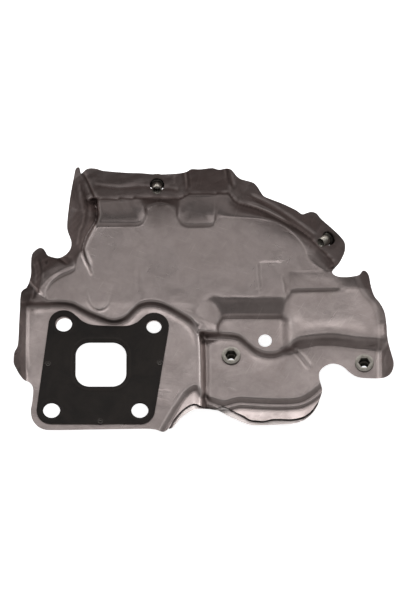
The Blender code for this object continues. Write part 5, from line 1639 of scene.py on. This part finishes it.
@dataclass
class RivetNuts:
    """The four captive hexagonal rivet nuts.

    Attributes:
        surface: the pressing the nuts stand on.
        across_corners: hexagon of the shank, mm.
        mouth_across_corners: hexagon of the recess in the flange, mm.
        barrel_diameter: round end of a nut that is seen from its tail, mm.
        clearance: gap between a flange and the sheet behind it, mm.
        sharp_angle: edges sharper than this stay crisp, degrees.
    """

    surface: PressedSurface
    across_corners: float = 8.0
    flange_diameter: float = 11.0
    flange_thickness: float = 0.8
    length: float = 9.0
    mouth_across_corners: float = 6.6
    mouth_depth: float = 3.6
    thread_diameter: float = 4.2
    thread_pitch: float = 0.8
    thread_depth: float = 0.32
    barrel_diameter: float = 5.9
    clearance: float = 0.3
    sheet_thickness: float = 0.5
    sheet_gap: float = 0.5
    least_facing: float = 0.5
    normal_probe: float = 3.0
    thread_rings: int = 6
    sharp_angle: float = 32.0
    segments: int = 72

    def rings(self, seat: NutSeat) -> List[Tuple[float, float, float, float, float]]:
        """The chain of rings of a nut.

        Args:
            seat: which side its flange is on. A nut whose tail is seen has a collar and a barrel.

        Returns:
            For each ring its height, reach to a corner, share of hexagon, thread depth and painted shade.
        """
        corner = self.across_corners / 2
        mouth = self.mouth_across_corners / 2
        bore = self.thread_diameter / 2
        flange = self.flange_diameter / 2
        end = -self.length
        if seat is NutSeat.OPEN_SIDE:
            tail = [(end, corner - 1.15, 0.0, 0.0, 0.0), (end + 0.15, corner - 0.75, 0.3, 0.0, 0.0),
                    (end + 0.8, corner - 0.12, 0.9, 0.0, 0.0), (end + 1.1, corner, 1.0, 0.0, 0.0),
                    (-0.25, corner, 1.0, 0.0, 0.0), (-0.05, corner + 0.05, 1.0, 0.0, 0.0),
                    (0.0, corner + 0.25, 0.8, 0.0, 0.0)]
        else:
            barrel = self.barrel_diameter / 2
            collar = -2 * self.sheet_thickness - self.sheet_gap - self.clearance - 1.1
            tail = [(end, barrel - 0.45, 0.0, 0.0, 0.0), (end + 0.12, barrel - 0.18, 0.0, 0.0, 0.0),
                    (end + 0.5, barrel, 0.0, 0.0, 0.0), (collar - 1.4, barrel, 0.0, 0.0, 0.1),
                    (collar - 0.9, barrel + 0.05, 0.0, 0.0, 1.0),
                    (collar - 0.45, corner - 0.4, 0.2, 0.0, 1.0),
                    (collar, corner - 0.02, 0.4, 0.0, 1.0), (collar + 0.8, corner, 0.5, 0.0, 1.0),
                    (-0.05, corner - 0.1, 0.5, 0.0, 1.0), (0.0, corner + 0.2, 0.0, 0.0, 1.0)]
        chain = tail + [
            (0.0, flange - 0.25, 0.0, 0.0, 0.0), (0.08, flange - 0.05, 0.0, 0.0, 0.0),
            (self.flange_thickness - 0.3, flange, 0.0, 0.0, 0.0),
            (self.flange_thickness - 0.08, flange - 0.15, 0.0, 0.0, 0.0),
            (self.flange_thickness, flange - 0.45, 0.0, 0.0, 0.0),
            (self.flange_thickness, mouth + 0.55, 0.5, 0.0, 0.0),
            (self.flange_thickness - 0.06, mouth + 0.22, 0.9, 0.0, 0.0),
            (self.flange_thickness - 0.35, mouth, 1.0, 0.0, 0.3),
            (-self.mouth_depth + 0.15, mouth, 1.0, 0.0, 0.5),
            (-self.mouth_depth, mouth - 0.12, 0.9, 0.0, 0.6),
            (-self.mouth_depth, bore + 0.5, 0.0, 0.0, 0.5),
            (-self.mouth_depth - 0.3, bore + 0.1, 0.0, 0.0, 0.5)]
        low = end + 0.35
        high = -self.mouth_depth - 0.35
        turns = int((high - low) / self.thread_pitch * self.thread_rings)
        for k in range(turns + 1):
            chain.append((high + (low - high) * k / turns, bore, 0.0, self.thread_depth, 0.4))
        chain.append((end + 0.1, bore + 0.25, 0.0, 0.0, 0.2))
        chain.append((end, bore + 0.4, 0.0, 0.0, 0.0))
        return chain

    def one(self, seat: NutSeat) -> bpy.types.Object:
        """One nut about its own axis, flange up."""
        bm = bmesh.new()
        # The crease layer holds painted shade: dark in the mouth, down the bore and round the collar of a nut
        # seen from its tail.
        stain_and_shade = bm.verts.layers.float.new("crease")
        loops: List[List[bmesh.types.BMVert]] = []
        half_side = math.pi / 6
        for height, reach, hexagon, thread, dark in self.rings(seat):
            loop: List[bmesh.types.BMVert] = []
            for k in range(self.segments):
                angle = 2 * math.pi * k / self.segments
                flat = math.cos(half_side) / math.cos((angle % (2 * half_side)) - half_side)
                phase = (height / self.thread_pitch + angle / (2 * math.pi)) % 1.0
                radius = reach * (1.0 - hexagon + hexagon * flat) + thread * abs(2.0 * phase - 1.0)
                x, y = radius * math.cos(angle), radius * math.sin(angle)
                vert = bm.verts.new((x * MM, y * MM, height * MM))
                vert[stain_and_shade] = dark
                loop.append(vert)
            loops.append(loop)
        for a, b in zip(loops, loops[1:] + loops[:1]):
            for k in range(self.segments):
                m = (k + 1) % self.segments
                bm.faces.new((a[k], a[m], b[m], b[k]))
        bmesh.ops.recalc_face_normals(bm, faces=bm.faces)
        return mesh_object("rivet_nut_seed", bm, self.sharp_angle)

    def stack_depth(self, centre: Point, spot: Vector, normal: Vector) -> float:
        """How deep both sheets reach behind a point of a wall, over the width of the flange."""
        reach, turn = np.meshgrid(np.linspace(0.0, self.flange_diameter / 2, 4),
                                  np.linspace(0.0, 2 * math.pi, 24))
        u = centre[0] + (reach * np.cos(turn)).ravel()
        v = centre[1] + (reach * np.sin(turn)).ravel()
        press = self.surface.press
        facing = self.surface.normals(u, v, self.normal_probe) @ press.press
        stack = (2 * self.sheet_thickness + self.sheet_gap) / np.maximum(facing, self.least_facing)
        back = press.place(u, v, self.surface.height(u, v)) - stack[:, None] * press.press
        return float(((np.array(spot) - back) @ np.array(normal)).max())

    def placing(self, node: str, centre: Point, seat: NutSeat) -> Tuple[Vector, Matrix]:
        """Where a nut sits and how it is turned.

        Args:
            node: the CAD node it stands for.
            centre: its point on the die plane.
            seat: which side its flange is on.

        Returns:
            The place in metres and the rotation.
        """
        spot, wall = self.surface.spot(centre)
        press = self.surface.press
        if seat is NutSeat.OPEN_SIDE:
            place = press.datum + spot * MM
            place.z = Vector(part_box(node)[0]).z + self.length * MM
            return place, Matrix.Identity(3)
        turn = Vector((0.0, 0.0, 1.0)).rotation_difference(wall).to_matrix()
        off = self.stack_depth(centre, spot, wall) + self.clearance
        spot = spot - wall * off
        return press.datum + spot * MM, turn @ Matrix.Rotation(math.pi, 3, "X")

    def build(self) -> List[bpy.types.Object]:
        """Makes the two pairs of nuts."""
        pieces: List[bpy.types.Object] = []
        pairs = ((NutSeat.OPEN_SIDE, PANEL_NUTS, "panel_rivet_nuts", ("rivet_nut_centre", "rivet_nut_right")),
                 (NutSeat.BACK, WALL_NUTS, "wall_rivet_nuts", ("rivet_nut_top", "rivet_nut_corner")))
        for seat, centres, name, nodes in pairs:
            places = [self.placing(node, centre, seat) for node, centre in zip(nodes, centres)]
            spots, turns = zip(*places)
            piece = place_copies(name, self.one(seat), spots, turns, NUT_ZINC.material())
            hand_over(piece, "rivet_nut", *nodes)
            pieces.append(piece)
        return pieces


# ---------------------------------------------------------------- stage
@dataclass
class Studio:
    """Floor, lights and camera.

    Attributes:
        press: how the die plane stands. The camera looks along the press direction.
        view_height: height of the view at the part, mm.
        distance: distance of the camera, m.
        middle: point of the die plane in the middle of the view.
        level: height of that point over the die plane, mm.
        floor_gap: how far the floor lies under the lowest point, mm.
        floor_radius: radius of the floor, m.
        room_light: strength of the room's own light.
    """

    press: PressFrame
    view_height: float = 348.0
    sensor: float = 36.0
    distance: float = 4.0
    middle: Point = (57.27, 37.27)
    level: float = 5.0
    floor_gap: float = 0.2
    floor_radius: float = 14.0
    room_light: float = 0.11

    def target(self) -> Vector:
        """The point the camera looks at."""
        u, v = np.array([self.middle[0]]), np.array([self.middle[1]])
        return Vector(self.press.world(self.press.place(u, v, np.array([self.level])))[0])

    def camera(self) -> None:
        """Adds the camera."""
        data = bpy.data.cameras.new("camera")
        data.sensor_width = self.sensor
        data.lens = self.sensor * self.distance / (self.view_height * MM)
        data.clip_end = 100.0
        camera = bpy.data.objects.new("camera", data)
        bpy.context.scene.collection.objects.link(camera)
        back = Vector(self.press.press)
        camera.location = self.target() + back * self.distance
        camera.rotation_euler = (-back).to_track_quat("-Z", "Y").to_euler()
        bpy.context.scene.camera = camera

    def soft_box(self, name: str, direction: Vector, distance: float, size: Tuple[float, float],
                 power: float, colour: Tuple[float, float, float]) -> None:
        """Adds a rectangular light that faces the part."""
        data = bpy.data.lights.new(name, "AREA")
        data.shape = "RECTANGLE"
        data.size, data.size_y = size
        data.energy = power
        data.color = colour
        light = bpy.data.objects.new(name, data)
        bpy.context.scene.collection.objects.link(light)
        way = direction.normalized()
        light.location = self.target() + way * distance
        light.rotation_euler = (-way).to_track_quat("-Z", "Y").to_euler()

    def lights(self) -> None:
        """Adds the soft boxes and the room's own light."""
        white = (1.0, 0.985, 0.975)
        warm = (1.0, 0.94, 0.92)
        self.soft_box("high_box", Vector((0.0, 0.62, 0.78)), 1.6, (4.6, 0.6), 14.0, white)
        self.soft_box("low_back_box", Vector((0.0, 0.92, 0.40)), 1.6, (4.0, 0.5), 21.0, white)
        self.soft_box("overhead_box", Vector((0.0, 0.05, 1.0)), 1.8, (4.4, 0.45), 6.8, white)
        self.soft_box("front_box", Vector((0.0, -0.9, 0.42)), 1.8, (4.6, 1.9), 5.2, warm)
        self.soft_box("left_box", Vector((-1.0, 0.1, 0.35)), 1.7, (2.2, 1.4), 3.0, white)
        self.soft_box("right_box", Vector((1.0, 0.1, 0.35)), 1.7, (2.2, 1.4), 2.6, white)
        world = bpy.data.worlds.new("room")
        world.use_nodes = True
        room = world.node_tree.nodes["Background"]
        room.inputs["Color"].default_value = (1.0, 0.97, 0.95, 1.0)
        room.inputs["Strength"].default_value = self.room_light
        bpy.context.scene.world = world
        bpy.context.scene.view_settings.view_transform = "Standard"

    def floor(self) -> None:
        """Adds the pale floor under the lowest point."""
        bm = bmesh.new()
        bmesh.ops.create_circle(bm, cap_ends=True, segments=96, radius=self.floor_radius)
        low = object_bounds()[0].z
        for vert in bm.verts:
            vert.co.z = low - self.floor_gap * MM
        floor = mesh_object("floor", bm, 60.0)
        canvas = FinishCanvas("floor_paper")
        noise = canvas.add("ShaderNodeTexNoise", {"Vector": canvas.spot, "Scale": 3.0, "Detail": 2.0})
        tone = canvas.mix(noise.outputs["Fac"], (0.93, 0.93, 0.93, 1.0), (0.96, 0.96, 0.96, 1.0))
        canvas.tree.links.new(tone, canvas.shader.inputs["Base Color"])
        canvas.shader.inputs["Roughness"].default_value = 0.9
        canvas.shader.inputs["Emission Color"].default_value = (1.0, 1.0, 1.0, 1.0)
        canvas.shader.inputs["Emission Strength"].default_value = 0.9
        floor.data.materials.append(canvas.material)
        floor.visible_glossy = False
        floor.visible_diffuse = False
        floor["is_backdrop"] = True

    def build(self) -> None:
        """Makes the whole stage."""
        self.camera()
        self.lights()
        self.floor()


def main() -> None:
    """Builds every piece in order."""
    logging.basicConfig(level=logging.INFO, format="%(name)s %(message)s")
    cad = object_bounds()
    press = PressFrame()
    surface = PressedSurface(PressForm(), press)
    sheets = PressedSheets(surface, cad)
    for side in SheetSide:
        sheets.build(side)
    FlangeGasket(press).build()
    RivetNuts(surface).build()
    Studio(press).build()


if __name__ == "__main__":
    main()
